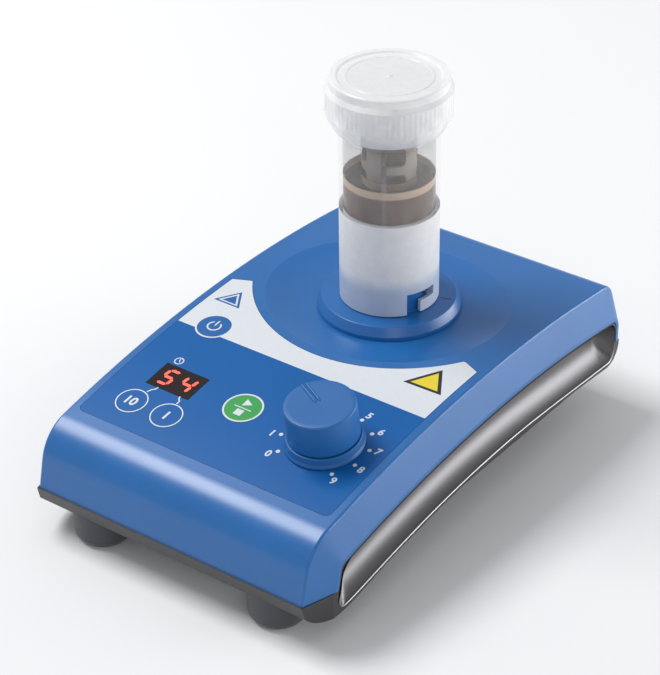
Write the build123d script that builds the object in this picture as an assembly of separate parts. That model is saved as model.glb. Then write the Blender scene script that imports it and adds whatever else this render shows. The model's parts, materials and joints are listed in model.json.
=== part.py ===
"""Compact tube-mixing drive: motor base, bayonet seat and disposable mixing tube.

Frame: millimetres, +Z up, origin on the table under the centre of the base,
front (control panel) toward -Y, right-hand side toward +X.
Each named node is written to parts/NODE.step.
"""
from build123d import *
from math import asin, cos, degrees, radians, sin, sqrt, tan
import os

# ---------------------------------------------------------------- clearances
fit = 0.1                      # between fixed pieces that sit in one another
running = 0.03                 # radial, of a shaft in its bearing
gap = 0.3                      # between pieces that move past one another
far = 200.0                    # size of cutting blocks, beyond everything

# ---------------------------------------------------------------- housing
body_length = 155.0            # front to rear
body_width = 100.0             # over the side lips
side_bevel = 3.3               # how much narrower the top face is, on each side
crown_z = 43.25                # highest line of the arched top
crown_y = 24.0
crown_drop = 9.186             # how far the arch falls from the crown to the nose
nose_radius = 13.0
nose_setback = 15.2            # centre of the rounded nose, from the front edge
nose_draft = 12.9              # lean of the front face, degrees
tail_radius = 5.5
bevel = 10.3                   # how far the side bevel cuts in under the top outline
side_tail_inset = 0.8          # the same at the rear face
side_tail_radius = 4.0
wall = 2.2                     # upper housing
lip = 1.2                      # rim of the side windows
crease_round = 0.8             # softened edge between the top and the side bevels
seam_front_z = 14.9            # joint of the two shells
seam_rear_z = 26.0
seam_rear_step = 11.0          # depth of the rear part of the joint
seam_rear_cut = 20.0           # how far forward the upper shell is cut at the rear joint
wrap_z = 21.0                  # upper shell's rear corners reach down to here

base_wall = 2.0                # lower housing
base_front_z = 10.8            # lower edge of its front strip
strip_lean = 1.2               # how far the strip leans back at its lower edge
base_proud = 0.15              # how far the lower shell stands out of the upper one
base_corner = 3.1              # how far its front corners are cut back
skirt_z = 6.7                  # lowest line, beside the front feet
skirt_setback = 11.5
arch_z = 16.0                  # top of the arch along the sides
arch_setback = 55.5            # from the rear face
tail_z = 13.7
tail_setback = 19.5            # where the lower edge straightens out, from the rear face
tail_curve = 6.5               # rounding under the rear face
belly_z = 9.5                  # pan between the arches
belly_inset = 12.0             # from the sides
belly_front = 19.5             # from the front
belly_rear = 7.5               # from the rear
belly_wall = 2.0
channel_depth = 6.0            # side grooves
channel_wall = 2.2             # left behind the groove
channel_edge = 0.7             # width left round the groove
channel_rim = 1.0              # height left under the groove
channel_slope = 1.2            # how much narrower the groove is at its floor
channel_round = 3.6            # corners of its mouth

# ---------------------------------------------------------------- feet and screws
foot_radius = 8.6
foot_round = 1.8
foot_seat = 2.0                # how deep the feet sit in the lower housing
foot_wall = 2.0                # socket around a foot
front_foot_inset = (18.7, 9.8)     # from the side and from the front
rear_foot_inset = 25.0             # from the side
post_radius = 3.5              # screw posts of the upper housing
post_sleeve = 1.1              # how much wider the lower housing's posts are
front_post_z = 20.0
rear_post_z = 24.0
post_gap = 0.2
screw_radius = 1.5
screw_grip = 7.0               # length of thread in the upper posts
screw_head_radius = 2.9
screw_head_height = 1.8
screw_head_depth = 4.0         # the screw's shoulder above the foot

# ---------------------------------------------------------------- motor
can_radius = 18.0
can_wall = 1.2
can_gap = 1.5                  # can above the pan
can_floor = 1.5
bracket_thickness = 2.0
bracket_drop = 4.3             # bracket under the dish floor
bracket_margin = 9.0           # plate outside the can
bracket_corner = 4.0
bracket_screw_inset = 5.0
bracket_screw_radius = 1.25
bracket_screw_grip = 2.4
bracket_screw_head = (2.2, 1.6)    # radius, height
bracket_post_radius = 3.2
shaft_radius = 2.5
bearing_radius = 6.5
bearing_width = 4.0
bearing_seat = 1.5             # wall around a bearing
bearing_floor = 0.8            # lower bearing over the underside of the can
bearing_drop = 4.7             # upper bearing's lower face under the bracket
bearing_gap = 0.2              # lower seat over its bearing
bearing_lip = 0.5              # upper seat under its bearing
shield = (3.8, 5.4, 0.3)       # recess in a bearing's faces: radii, depth
magnet_radius = 8.8
stator_bore = 9.2
stator_lift = 6.5              # stack above the underside of the can
stator_height = 9.0
stator_slots = 9
slot_size = (4.4, 3.4)         # radial, across
slot_mouth = 1.0
slot_edge = 5.1                # middle of the slots inside the can
coil_width = 5.4
coil_height = 2.5

# ---------------------------------------------------------------- bayonet seat
tube_setback = 50.0            # axis of the seat, motor and tube, from the rear face
dish_depth = 2.75              # dish floor under the crown
dish_margin = 0.6              # flat floor outside the flange
dish_blend_radius = 46.0       # curve from the floor up to the crown
dish_blend_reach = 18.0
dish_pad = (40.0, 3.5)         # thickening under the dish: radius, height
flange_height = 4.0
flange_margin = 6.75           # flange outside the tube
flange_draft = 1.5
flange_foot = 1.4              # upright part of its edge
spigot_inset = 5.6             # spigot through the housing inside the flange
hub_height = 10.7
hub_gap = 0.55                 # hub inside the tube
hub_pocket_radius = 7.5
hub_pocket_depth = 5.7
hub_bore_radius = 5.5
pin_radius = 1.2
pin_height = 5.5               # over the flange
pin_short = 0.25               # pin's end inside the tube's outer face
pin_root = 1.5                 # wall left behind a pin
bayonet_turn = 25.0            # degrees from the slot's mouth to its end
slot_mouth_angle = 3.0         # how much wider the mouth is on each side
seal_z = (1.5, 4.5)            # shaft seal over the dish floor
dog_radius = 5.0
dog_gap = 0.7                  # dog under the mixer's boss
blade = (8.0, 2.6)             # driving tang: width, thickness
blade_reach = 2.8              # how far it enters the boss

# ---------------------------------------------------------------- mixing tube
tube_radius = 14.65
tube_wall = 1.2
tube_lift = 0.3                # tube above the flange
skirt_height = 28.5            # flange to chamber floor
floor_thickness = 1.4
chamber_height = 26.2          # floor to shoulder
neck_inset = 1.05
neck_wall = 1.3
neck_height = 13.6
shoulder_wall = (2.0, 3.5)     # under the shoulder: at the neck, at the wall
thread_depth = 1.3
cap_wall = 3.5
cap_skirt_gap = 0.7            # cap's lower edge over the shoulder
cap_flare = (1.1, 4.6)         # lower edge: width, height
cap_step = 1.1                 # how much narrower the crown is
cap_step_z = (3.8, 2.4)        # the step under the top
cap_edge = 0.5
cap_over = 2.8                 # top of the cap over the neck
cap_recess = 0.6
cap_plate = 1.1
liner_thickness = 0.9
liner_inset = 0.2

cage_radius = 8.0
cage_bore = 7.0
cage_height = 25.0
cage_flange = (9.6, 1.2)       # radius, height
cage_rows = ((8.0, 14.4), (17.0, 22.8))    # windows over the chamber floor
cage_window_width = 7.2
cage_window_round = 1.5
cage_windows = 4               # in each row
mixer_radius = 6.3
mixer_core_radius = 3.4
mixer_shaft_radius = 2.2
mixer_blades = 4
mixer_blade = 1.6
mixer_span = (11.5, 22.5)      # blades over the chamber floor
mixer_seal_radius = 4.2
mixer_seal_edge = 0.8          # how far the seal stands out of the floor
mixer_boss_radius = 5.4
mixer_boss_span = (14.8, 3.5)  # under the chamber floor
mixer_slot_depth = 3.2

# ---------------------------------------------------------------- control panel
film = 0.3                     # control-panel film
film_inset = 2.6               # from the edge of the top face
film_front = 15.8              # from the front
film_side = 19.1               # rear end at the sides, before the tube axis
film_horn = (5.8, 16.6)        # tips beside the arc: from the film's side, before the axis
film_arc_y = 9.1               # centre of the arc behind the axis
film_arc_margin = 24.0         # arc outside the dish's flat floor
film_corner = 2.0

knob_x, knob_front = 26.2, 38.4
knob_radius = 10.2
knob_height = 14.0
knob_wall = 1.6
knob_round = 0.6
knob_hollow = 1.5              # depth under the rim
collar_height = 3.2
collar_margin = 1.2            # collar outside the knob
collar_chamfer = 0.9
collar_bore = 8.3
collar_lift = 0.03
knob_shaft_radius = 3.0
knob_shaft_span = (-2.8, 12.0)
bushing_radius = 3.9
bushing_height = 2.0
control_radius = 8.0
control_stand = 0.15           # its body over the board
control_gap = 0.7              # under the housing wall
nut_radius = 6.2               # over the corners
nut_height = 1.9
pointer_angle = 153.0          # where the pointer stands at rest, from +X toward +Y
pointer = (9.0, 1.7, 0.5)      # length, width, height over the knob
pointer_middle = 4.9

display_x, display_front = -26.1, 38.45
display_width, display_depth = 15.4, 9.9
window_thickness = 1.6
module_inset = (0.3, 0.2)

key_row_front = 25.6           # front keys, from the front edge
start_front = 38.5
power_rear = 41.4              # power key before the tube axis
key_travel = 0.4
key_proud = 0.05
key_round = 0.3
key_stem = 0.6                 # how much narrower the stem is
key_flange = 0.9               # how much wider the flange is
key_flange_height = 0.7
key_flange_gap = 0.95          # flange under the housing wall
key_foot = (1.5, 0.35)         # foot that meets the switch: radius, height

board_front = 40.5             # control board's middle, from the front
board_thickness = 1.6
board_inset = 14.0             # from the sides
board_front_margin = 10.1      # board beyond the front keys
board_rear_margin = 4.9        # board beyond the power key
switch_size = (6.0, 2.0)       # side, height
switch_plunger = (1.6, 0.1)    # radius, least height
driver_z = 19.0
driver_size = (64.0, 44.0)
driver_front = 51.5            # middle of the driver board, from the front
driver_screw_inset = 4.0
driver_post_radius = 2.6
driver_screw_radius = 1.0
driver_screw_head = (2.1, 1.4)
driver_screw_length = 5.0
ballast_size = (48.0, 52.0, 4.0)
ballast_chamfer = 2.0
jack_x, jack_z = -10.0, 21.2
jack_radius = 4.0
jack_bore = 2.9
jack_pin_radius = 1.0
jack_body = (10.0, 12.0, 9.5)
jack_pocket_wall = 2.0
jack_pocket_floor = 1.6        # plastic left below the pocket
jack_room = 1.0                # air on each side of the jack in its pocket
lead_radius = 0.7
phase_radius = 0.6
lead_x = -29.0                 # where the power leads pass the motor
phase_z = 24.0
ribbon = (9.0, 23.0, 0.8)      # x from, x to, thickness

# ---------------------------------------------------------------- derived values
front_y = -body_length / 2
rear_y = body_length / 2
side_x = body_width / 2
crease_x = side_x - side_bevel
nose_y = front_y + nose_setback
crown_radius = ((crown_y - nose_y) ** 2 + crown_drop ** 2) / (2 * crown_drop)
crown_centre_z = crown_z - crown_radius
nose_z = crown_centre_z + sqrt((crown_radius - nose_radius) ** 2 - (nose_y - crown_y) ** 2)
inner_x = side_x - channel_depth - channel_wall
belly_x = side_x - belly_inset
belly_floor_z = belly_z + belly_wall

tube_y = rear_y - tube_setback
dish_floor_z = crown_z - dish_depth
flange_z = dish_floor_z + flange_height
flange_radius = tube_radius + flange_margin
dish_flat_radius = flange_radius + dish_margin
spigot_radius = flange_radius - spigot_inset
tube_bore = tube_radius - tube_wall
hub_radius = tube_bore - hub_gap
hub_z = flange_z + hub_height
hub_pocket_z = hub_z - hub_pocket_depth
pin_z = flange_z + pin_height
floor_z = flange_z + skirt_height
shoulder_z = floor_z + chamber_height
neck_z = shoulder_z + neck_height
neck_radius = tube_radius - neck_inset
cap_top_z = neck_z + cap_over
mixer_boss_z = (floor_z - mixer_boss_span[0], floor_z - mixer_boss_span[1])

can_z = belly_floor_z + can_gap
bracket_z = (dish_floor_z - bracket_drop - bracket_thickness, dish_floor_z - bracket_drop)
bracket_half = can_radius + bracket_margin
bracket_screw = bracket_half - bracket_screw_inset
stator_z = (can_z + stator_lift, can_z + stator_lift + stator_height)

front_foot = (side_x - front_foot_inset[0], front_y + front_foot_inset[1])
rear_foot = (side_x - rear_foot_inset, tube_y + bracket_half + post_radius + 1.0)
front_seat_z = base_front_z - fit
rear_seat_z = belly_z + foot_seat
supports = (                   # feet and screws: name, plan position, seat height, post height
    ("front", front_foot, front_seat_z, front_post_z),
    ("rear", rear_foot, rear_seat_z, rear_post_z),
)

film_x = crease_x - film_inset
film_arc_radius = dish_flat_radius + film_arc_margin
knob_y = front_y + knob_front
knob_skirt = collar_height + gap
display_y = front_y + display_front
power_y = tube_y - power_rear
keys = {                       # name: x, y, radius
    "button_tens": (-32.3, front_y + key_row_front, 4.6),
    "button_ones": (-19.6, front_y + key_row_front, 4.6),
    "button_start_stop": (-2.4, front_y + start_front, 5.7),
    "button_power": (-33.0, power_y, 4.8),
}
key_depth = wall + key_flange_gap + key_flange_height + key_foot[1]
board_y = front_y + board_front
board_reach = power_y - board_y    # the power key is the furthest from the board's middle
board_sag = board_reach ** 2 / (2 * crown_radius) + key_foot[0] * board_reach / crown_radius
board_drop = key_depth + key_travel + key_proud + switch_size[1] + switch_plunger[1] + board_sag
driver_y = front_y + driver_front
driver_top_z = driver_z + board_thickness
parts = {}


# ---------------------------------------------------------------- basic shapes
def crown_height(y, inset=0.0):
    """Height of the arched top (or of the arch `inset` below it) at a given y."""
    return crown_centre_z + sqrt((crown_radius - inset) ** 2 - (y - crown_y) ** 2)


def panel_plane(x, y):
    """Plane touching the arched top at x, y; its z axis is the outward normal."""
    lean = asin((y - crown_y) / crown_radius)
    return Plane(origin=(x, y, crown_height(y)), x_dir=(1, 0, 0), z_dir=(0, sin(lean), cos(lean)))


def cylinder(radius, z0, z1, x=0.0, y=0.0):
    """Upright cylinder between two heights."""
    return Pos(x, y, (z0 + z1) / 2) * Cylinder(radius, z1 - z0)


def tube(outer, inner, z0, z1, x=0.0, y=0.0):
    """Upright hollow cylinder between two heights."""
    return cylinder(outer, z0, z1, x, y) - cylinder(inner, z0 - 1, z1 + 1, x, y)


def disc(at, radius, z0, z1):
    """Cylinder between two heights over a plane."""
    return at * Pos(0, 0, (z0 + z1) / 2) * Cylinder(radius, z1 - z0)


def block(x0, x1, y0, y1, z0, z1):
    """Box between opposite corners."""
    return Pos((x0 + x1) / 2, (y0 + y1) / 2, (z0 + z1) / 2) * Box(x1 - x0, y1 - y0, z1 - z0)


def turned(points):
    """Solid turned from a closed (radius, z) outline about the tube axis."""
    outline = Polyline(*[(r, 0, z) for r, z in points], close=True)
    return Pos(0, tube_y, 0) * revolve(make_face(outline), Axis.Z)


def about_tube(angle, shape):
    """A shape on the +X axis, turned by an angle and carried to the tube axis."""
    return Pos(0, tube_y, 0) * Rot(0, 0, angle) * shape


def corners(dx, dy=None):
    """The four sign combinations of a plan offset."""
    dy = dx if dy is None else dy
    return [(sx * dx, sy * dy) for sx in (-1, 1) for sy in (-1, 1)]


def arc_join(centre, radius, angle0, angle1):
    """Arc in a 2-D sketch between two angles, in degrees."""
    at = [(centre[0] + radius * cos(radians(a)), centre[1] + radius * sin(radians(a)))
          for a in (angle0, (angle0 + angle1) / 2, angle1)]
    return ThreePointArc(*at)


def across(face, x0, x1):
    """Extrude a side-view face from x0 to x1."""
    return extrude(Plane.YZ.offset(x0) * face, x1 - x0)


def bevelled(inner_face, outer_face, x_inner, x_outer):
    """Body with a straight middle and bevelled sides, symmetric about x = 0."""
    side = loft([Plane.YZ.offset(x_inner) * inner_face, Plane.YZ.offset(x_outer) * outer_face],
                ruled=True)
    return across(inner_face, -x_inner, x_inner) + side + mirror(side, Plane.YZ)


# ---------------------------------------------------------------- housing outlines
def side_profile(inset, tail_inset, tail_round, low_z):
    """Side view of the housing: leaning front, nose arc, crown arc, tail arc, rear face.

    The front, nose and crown lie `inset` inside the outermost outline, the rear
    face `tail_inset` inside it. The outline is closed by a straight line at `low_z`.
    """
    big = crown_radius - inset
    tail_cy = rear_y - tail_inset - tail_round
    tail_cz = crown_centre_z + sqrt((big - tail_round) ** 2 - (tail_cy - crown_y) ** 2)
    nose_top = 90 - degrees(asin((nose_y - crown_y) / (crown_radius - nose_radius)))
    tail_top = 90 - degrees(asin((tail_cy - crown_y) / (big - tail_round)))
    crown_arc = arc_join((crown_y, crown_centre_z), big, nose_top, tail_top)
    nose_arc = arc_join((nose_y, nose_z), nose_radius - inset, 180 - nose_draft, nose_top)
    tail_arc = arc_join((tail_cy, tail_cz), tail_round, tail_top, 0)
    knee = nose_arc @ 0
    low_front = (knee.X - (knee.Y - low_z) * tan(radians(nose_draft)), low_z)
    low_rear = (rear_y - tail_inset, low_z)
    edges = [Line(low_front, knee), nose_arc, crown_arc, tail_arc]
    edges += [Line(tail_arc @ 1, low_rear), Line(low_rear, low_front)]
    return make_face(edges)


def arch_line(front, rear, raise_by):
    """Lower edge of the sides: down to the skirt, up over the arch, down to the tail.

    The points between the named heights only shape the curve.
    """
    skirt_y = front_y + skirt_setback
    points = [(front, base_front_z),
              (skirt_y - 7, skirt_z + 1.3),
              (skirt_y, skirt_z),
              (skirt_y + 16, skirt_z + 2.3),
              (skirt_y + 44, (arch_z + skirt_z) / 2 + 2),
              (rear_y - arch_setback, arch_z),
              (rear_y - tail_setback, tail_z + 0.9),
              (rear, tail_z)]
    return Spline(*[(y, z + raise_by) for y, z in points])


def underside(inset, top_front, top_rear):
    """Side view of the lower housing: front strip, skirt, long arch and rear face."""
    front = front_y - base_proud + inset
    rear = rear_y - inset
    corner = rear_y - tail_curve
    low = arch_line(front + strip_lean, corner, inset)
    turn = arc_join((corner, tail_z + tail_curve), tail_curve - inset, -90, 0)
    top = Polyline(turn @ 1, (rear, top_rear), (rear - seam_rear_step, top_rear),
                   (front_y + skirt_setback, top_front), (front, top_front),
                   (front + strip_lean, base_front_z + inset))
    return make_face([low, turn, top])


def channel_face(inset):
    """Side view of one groove, `inset` inside its mouth, with rounded ends."""
    edge = bevel + lip + channel_edge + inset
    rear = rear_y - side_tail_inset - lip - channel_edge - inset
    start = front_y - base_proud + strip_lean
    low = arch_line(start, rear_y, channel_rim + inset)
    above = make_face([low, Polyline(low @ 1, (rear_y, far), (start, far), low @ 0)])
    under_crown = Pos(crown_y, crown_centre_z) * Circle(crown_radius - edge)
    lean = radians(nose_draft)
    reach = nose_radius - edge
    front_edge = Pos(nose_y - reach * cos(lean), nose_z + reach * sin(lean)) * Rot(0, 0, -nose_draft)
    behind_front = front_edge * Rectangle(2 * far, 2 * far, align=(Align.MIN, Align.CENTER))
    before_tail = Pos(rear, 0) * Rectangle(2 * far, 2 * far, align=(Align.MAX, Align.CENTER))
    mouth = above & under_crown & behind_front & before_tail
    return fillet(mouth.vertices(), channel_round - inset / 2)


# ---------------------------------------------------------------- upper housing
def make_dish():
    """Solid that cuts the round dish: flat floor, blend arc and everything above."""
    def rise(reach):
        return dish_floor_z + dish_blend_radius - sqrt(dish_blend_radius ** 2 - reach ** 2)

    rim_radius = dish_flat_radius + dish_blend_reach
    rim = (rim_radius, rise(dish_blend_reach))
    middle = (dish_flat_radius + dish_blend_reach / 2, rise(dish_blend_reach / 2))
    blend = ThreePointArc((dish_flat_radius, dish_floor_z), middle, rim)
    top = crown_z + 20
    rest = Polyline(rim, (rim_radius, top), (0, top), (0, dish_floor_z), (dish_flat_radius, dish_floor_z))
    return Pos(0, tube_y, 0) * revolve(Plane.XZ * make_face([blend, rest]), Axis.Z)


def upper_outside():
    """Solid inside the outermost surface of the upper housing, with softened creases."""
    outer = bevelled(side_profile(0, 0, tail_radius, seam_front_z),
                     side_profile(bevel, side_tail_inset, side_tail_radius, seam_front_z),
                     crease_x, side_x)
    creases = [edge for edge in outer.edges()
               if all(abs(abs((edge @ t).X) - crease_x) < 0.01 for t in (0, 0.5))
               and (edge @ 0.5).Z > seam_front_z + 0.1]
    return fillet(creases, crease_round)


def make_upper_housing():
    outer = upper_outside()
    hollow = bevelled(side_profile(wall, wall, tail_radius - wall, 0),
                      side_profile(bevel + lip, side_tail_inset + lip, side_tail_radius - lip, 0),
                      crease_x - wall / 2, side_x + fit / 2)
    shell = outer - hollow
    shell -= block(-far, far, rear_y - seam_rear_cut, far, 0, wrap_z)
    shell -= block(-inner_x, inner_x, rear_y - seam_rear_cut, far, 0, seam_rear_z)
    dish_under = dish_floor_z - wall
    shell += cylinder(dish_pad[0], dish_under, dish_under + dish_pad[1], 0, tube_y) & outer
    for x, y in corners(bracket_screw):
        shell += cylinder(bracket_post_radius, bracket_z[1], dish_under + 0.5, x, tube_y + y)
    for _, (x, y), _, post_z in supports:
        for side in (-1, 1):
            post = cylinder(post_radius, post_z + post_gap, crown_height(y), side * x, y)
            post -= cylinder(screw_radius, post_z - 1, post_z + screw_grip + 1, side * x, y)
            shell += post & outer
    shell -= make_dish()
    shell -= cylinder(spigot_radius + fit, bracket_z[0], far, 0, tube_y)
    for x, y in corners(bracket_screw):
        shell -= cylinder(bracket_screw_radius, bracket_z[1] - 1, bracket_z[1] + bracket_screw_grip + 0.5,
                          x, tube_y + y)
    shell -= film_solid(fit, film + fit / 2)
    shell -= display_opening(wall)
    shell -= disc(panel_plane(knob_x, knob_y), bushing_radius + fit, -2 * wall, far)
    for x, y, radius in keys.values():
        shell -= disc(panel_plane(x, y), radius + gap, -3 * wall, far)
    parts["upper_housing"] = shell


def display_opening(depth):
    """Window through the panel, from well above it to `depth` and more below."""
    opening = Box(display_width + 2 * fit, display_depth + 2 * fit, 4 * depth + 4 * wall)
    return panel_plane(display_x, display_y) * opening


def film_outline(grow):
    """Plan outline of the panel film, with its rear edge cut by an arc round the dish."""
    side = film_x + grow
    front = front_y + film_front - grow
    left = [(-side, front), (side, front), (side, tube_y - film_side + grow),
            (film_x - film_horn[0], tube_y - film_horn[1] + grow)]
    right = [(-x, y) for x, y in reversed(left[2:])]
    outline = make_face(Polyline(*(left + right), close=True))
    outline = fillet(outline.vertices().sort_by(Axis.Y)[:2], film_corner)
    return outline - Pos(0, tube_y + film_arc_y) * Circle(film_arc_radius - grow)


def film_solid(grow, depth):
    """Slab of the given depth that follows the arched top inside the film outline."""
    centre = Pos(crown_y, crown_centre_z)
    band = centre * Circle(crown_radius) - centre * Circle(crown_radius - depth)
    band &= Pos(crown_y, crown_z) * Rectangle(2 * body_length, 2 * body_length)
    return across(band, -side_x, side_x) & extrude(film_outline(grow), far)


def make_panel_film():
    sheet = film_solid(0, film)
    sheet -= display_opening(film)
    sheet -= disc(panel_plane(knob_x, knob_y), collar_bore + 2 * gap, -2, 2)
    for x, y, radius in keys.values():
        sheet -= disc(panel_plane(x, y), radius + gap, -2, 2)
    parts["panel_film"] = sheet


# ---------------------------------------------------------------- lower housing
def lower_shell():
    """Outside of the lower housing, before it is hollowed."""
    half = side_x - fit
    outer = across(underside(0, seam_front_z, seam_rear_z), -half, half)
    edge = bevel + lip + fit
    side = side_profile(edge, wall + fit, side_tail_radius - lip - fit, seam_front_z)
    outer += across(side, inner_x, half)
    outer += across(side, -half, -inner_x)
    belly = block(-belly_x, belly_x, front_y + belly_front, rear_y - belly_rear, belly_z, seam_front_z + 7)
    outer += chamfer(belly.edges().group_by(Axis.Z)[0], 1.5)
    corner_x = side_x - base_corner
    corner = Polyline((corner_x, front_y - 3), (corner_x, front_y - base_proud),
                      (side_x, front_y + bevel), (side_x + 3, front_y + bevel),
                      (side_x + 3, front_y - 3), close=True)
    cut = extrude(make_face(corner), far)
    cut += block(inner_x - fit, far, rear_y - wall - fit, far, wrap_z - fit, far)
    return outer - cut - mirror(cut, Plane.YZ)


def make_lower_housing():
    outer = lower_shell()
    body = outer - across(underside(base_wall, far, far), -inner_x, inner_x)
    body -= block(belly_wall - belly_x, belly_x - belly_wall, front_y + belly_front + belly_wall,
                  rear_y - belly_rear - belly_wall, belly_floor_z, far)
    for _, (x, y), seat, post_z in supports:
        for side in (-1, 1):
            at = (side * x, y)
            body += cylinder(foot_radius + foot_wall, seat - 5, seat + 2, *at) & outer
            body += cylinder(post_radius + post_sleeve, seat, post_z, *at)
            body -= cylinder(foot_radius + fit, -5, seat, *at)
            body -= cylinder(screw_head_radius + gap, seat - 1, seat + screw_head_depth, *at)
            body -= cylinder(screw_radius + fit, seat, post_z + 1, *at)
    for x, y in driver_holes():
        body += cylinder(driver_post_radius, belly_floor_z - 1, driver_z, x, y)
        body -= cylinder(driver_screw_radius, driver_z - driver_screw_length - 1, driver_z + 1, x, y)
    pocket = jack_body[0] / 2 + jack_room
    outside = pocket + jack_pocket_wall
    pocket_y = rear_y - jack_body[1] - base_wall
    body += block(jack_x - outside, jack_x + outside, pocket_y - jack_pocket_wall, rear_y, tail_z,
                  seam_rear_z) & outer
    body -= block(jack_x - pocket, jack_x + pocket, pocket_y - 4, rear_y - base_wall,
                  tail_z + jack_pocket_floor, far)
    body -= disc(jack_plane(), jack_radius + fit, -6, 6)
    groove = loft([Plane.YZ.offset(side_x + 0.5) * channel_face(-0.4),
                   Plane.YZ.offset(side_x - channel_depth) * channel_face(channel_slope)], ruled=True)
    parts["lower_housing"] = body - groove - mirror(groove, Plane.YZ)


def make_feet():
    for place, (x, y), seat, _ in supports:
        for hand, sign in (("left", -1), ("right", 1)):
            foot = cylinder(foot_radius, 0, seat, sign * x, y)
            foot = fillet(foot.edges().group_by(Axis.Z)[0], foot_round)
            parts[f"foot_{place}_{hand}"] = foot


def make_housing_screws():
    screws = []
    for _, (x, y), seat, post_z in supports:
        top = seat + screw_head_depth
        low = top - screw_head_height
        for sign in (-1, 1):
            head = cylinder(screw_head_radius, low, top, sign * x, y)
            head -= Pos(sign * x, y, low) * Box(2.4, 0.6, 1.0)
            head -= Pos(sign * x, y, low) * Box(0.6, 2.4, 1.0)
            screws.append(head + cylinder(screw_radius, top, post_z + screw_grip, sign * x, y))
    parts["housing_screws"] = Compound(children=screws)


# ---------------------------------------------------------------- control panel
def make_keys():
    flange_top = -wall - key_flange_gap
    for name, (x, y, radius) in keys.items():
        at = panel_plane(x, y)
        stem_top = -wall
        cap = disc(Plane.XY, radius, stem_top - key_proud, key_proud)
        cap = fillet(cap.edges().group_by(Axis.Z)[-1], key_round)
        cap += disc(Plane.XY, radius - key_stem, flange_top - 0.2, stem_top + 0.05)
        cap += disc(Plane.XY, radius + key_flange, flange_top - key_flange_height, flange_top)
        cap += disc(Plane.XY, key_foot[0], -key_depth, flange_top - key_flange_height)
        parts[name] = at * cap


def make_display():
    at = panel_plane(display_x, display_y)
    glass = Box(display_width, display_depth, window_thickness)
    parts["display_window"] = at * Pos(0, 0, -window_thickness / 2) * glass
    top, low = window_thickness + 2 * fit, board_drop - fit
    module = Box(display_width - 2 * module_inset[0], display_depth - 2 * module_inset[1], low - top)
    parts["display_module"] = at * Pos(0, 0, -(top + low) / 2) * module


def make_control_board():
    base = panel_plane(0, board_y)
    low = front_y + key_row_front - board_y - board_front_margin
    high = power_y - board_y + board_rear_margin
    plate = block(board_inset - side_x, side_x - board_inset, low, high, -board_drop - board_thickness,
                  -board_drop)
    parts["control_board"] = base * plate
    switches = []
    for x, y, _ in keys.values():
        spot = base.to_local_coords(panel_plane(x, y).origin)
        side, height = switch_size
        switch_top = height - board_drop
        lean_gap = key_foot[0] * abs(y - board_y) / crown_radius
        plunger_top = spot.Z - key_depth - key_travel - key_proud - lean_gap
        switch = Pos(spot.X, spot.Y, height / 2 - board_drop) * Box(side, side, height)
        switch += cylinder(switch_plunger[0], switch_top, plunger_top, spot.X, spot.Y)
        switches.append(base * switch)
    parts["key_switches"] = Compound(children=switches)


def make_speed_control():
    at = panel_plane(knob_x, knob_y)
    top = -wall - control_gap
    body = disc(Plane.XY, control_radius, control_stand - board_drop, top)
    body += disc(Plane.XY, bushing_radius, top - fit, bushing_height)
    body -= disc(Plane.XY, knob_shaft_radius + running, knob_shaft_span[0] - 0.2, bushing_height + 1)
    parts["speed_potentiometer"] = at * body
    nut = extrude(RegularPolygon(nut_radius, 6, major_radius=True), nut_height)
    nut -= Cylinder(bushing_radius, far)
    parts["potentiometer_nut"] = at * Pos(0, 0, -film - fit / 2) * nut
    parts["knob_shaft"] = disc(at, knob_shaft_radius, *knob_shaft_span)
    ring = disc(Plane.XY, knob_radius + collar_margin, 0, collar_height)
    ring = chamfer(ring.edges().group_by(Axis.Z)[-1], collar_chamfer)
    ring -= Cylinder(collar_bore, far)
    parts["knob_collar"] = at * Pos(0, 0, collar_lift) * ring
    knob = disc(Plane.XY, knob_radius, knob_skirt, knob_height)
    knob = fillet(knob.edges().group_by(Axis.Z)[-1], knob_round)
    knob -= disc(Plane.XY, knob_radius - knob_wall, 0, knob_skirt + knob_hollow)
    knob -= disc(Plane.XY, knob_shaft_radius, 0, knob_shaft_span[1])
    length, width, rise = pointer
    rib = Pos(pointer_middle, 0, knob_height) * Box(length, width, 2 * rise)
    knob += Rot(0, 0, pointer_angle) * rib
    parts["speed_knob"] = at * knob


# ---------------------------------------------------------------- seat, drive and motor
def make_bayonet_seat():
    seat = turned([(0, dish_floor_z), (flange_radius, dish_floor_z),
                   (flange_radius, dish_floor_z + flange_foot),
                   (flange_radius - flange_draft, flange_z), (0, flange_z)])
    seat += cylinder(spigot_radius, bracket_z[1], dish_floor_z, 0, tube_y)
    seat += cylinder(hub_radius, flange_z, hub_z, 0, tube_y)
    seat -= cylinder(hub_bore_radius, bracket_z[0], hub_z + 1, 0, tube_y)
    seat -= cylinder(hub_pocket_radius, hub_pocket_z, hub_z + 1, 0, tube_y)
    tip = tube_radius - pin_short
    root = hub_pocket_radius + pin_root
    pins = []
    for angle in (0, 180):
        pin = Pos((tip + root) / 2, 0, pin_z) * Rot(0, 90, 0) * Cylinder(pin_radius, tip - root)
        pin = about_tube(angle, pin)
        seat -= pin
        pins.append(pin)
    parts["bayonet_seat"] = seat
    parts["bayonet_pins"] = Compound(children=pins)


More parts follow.
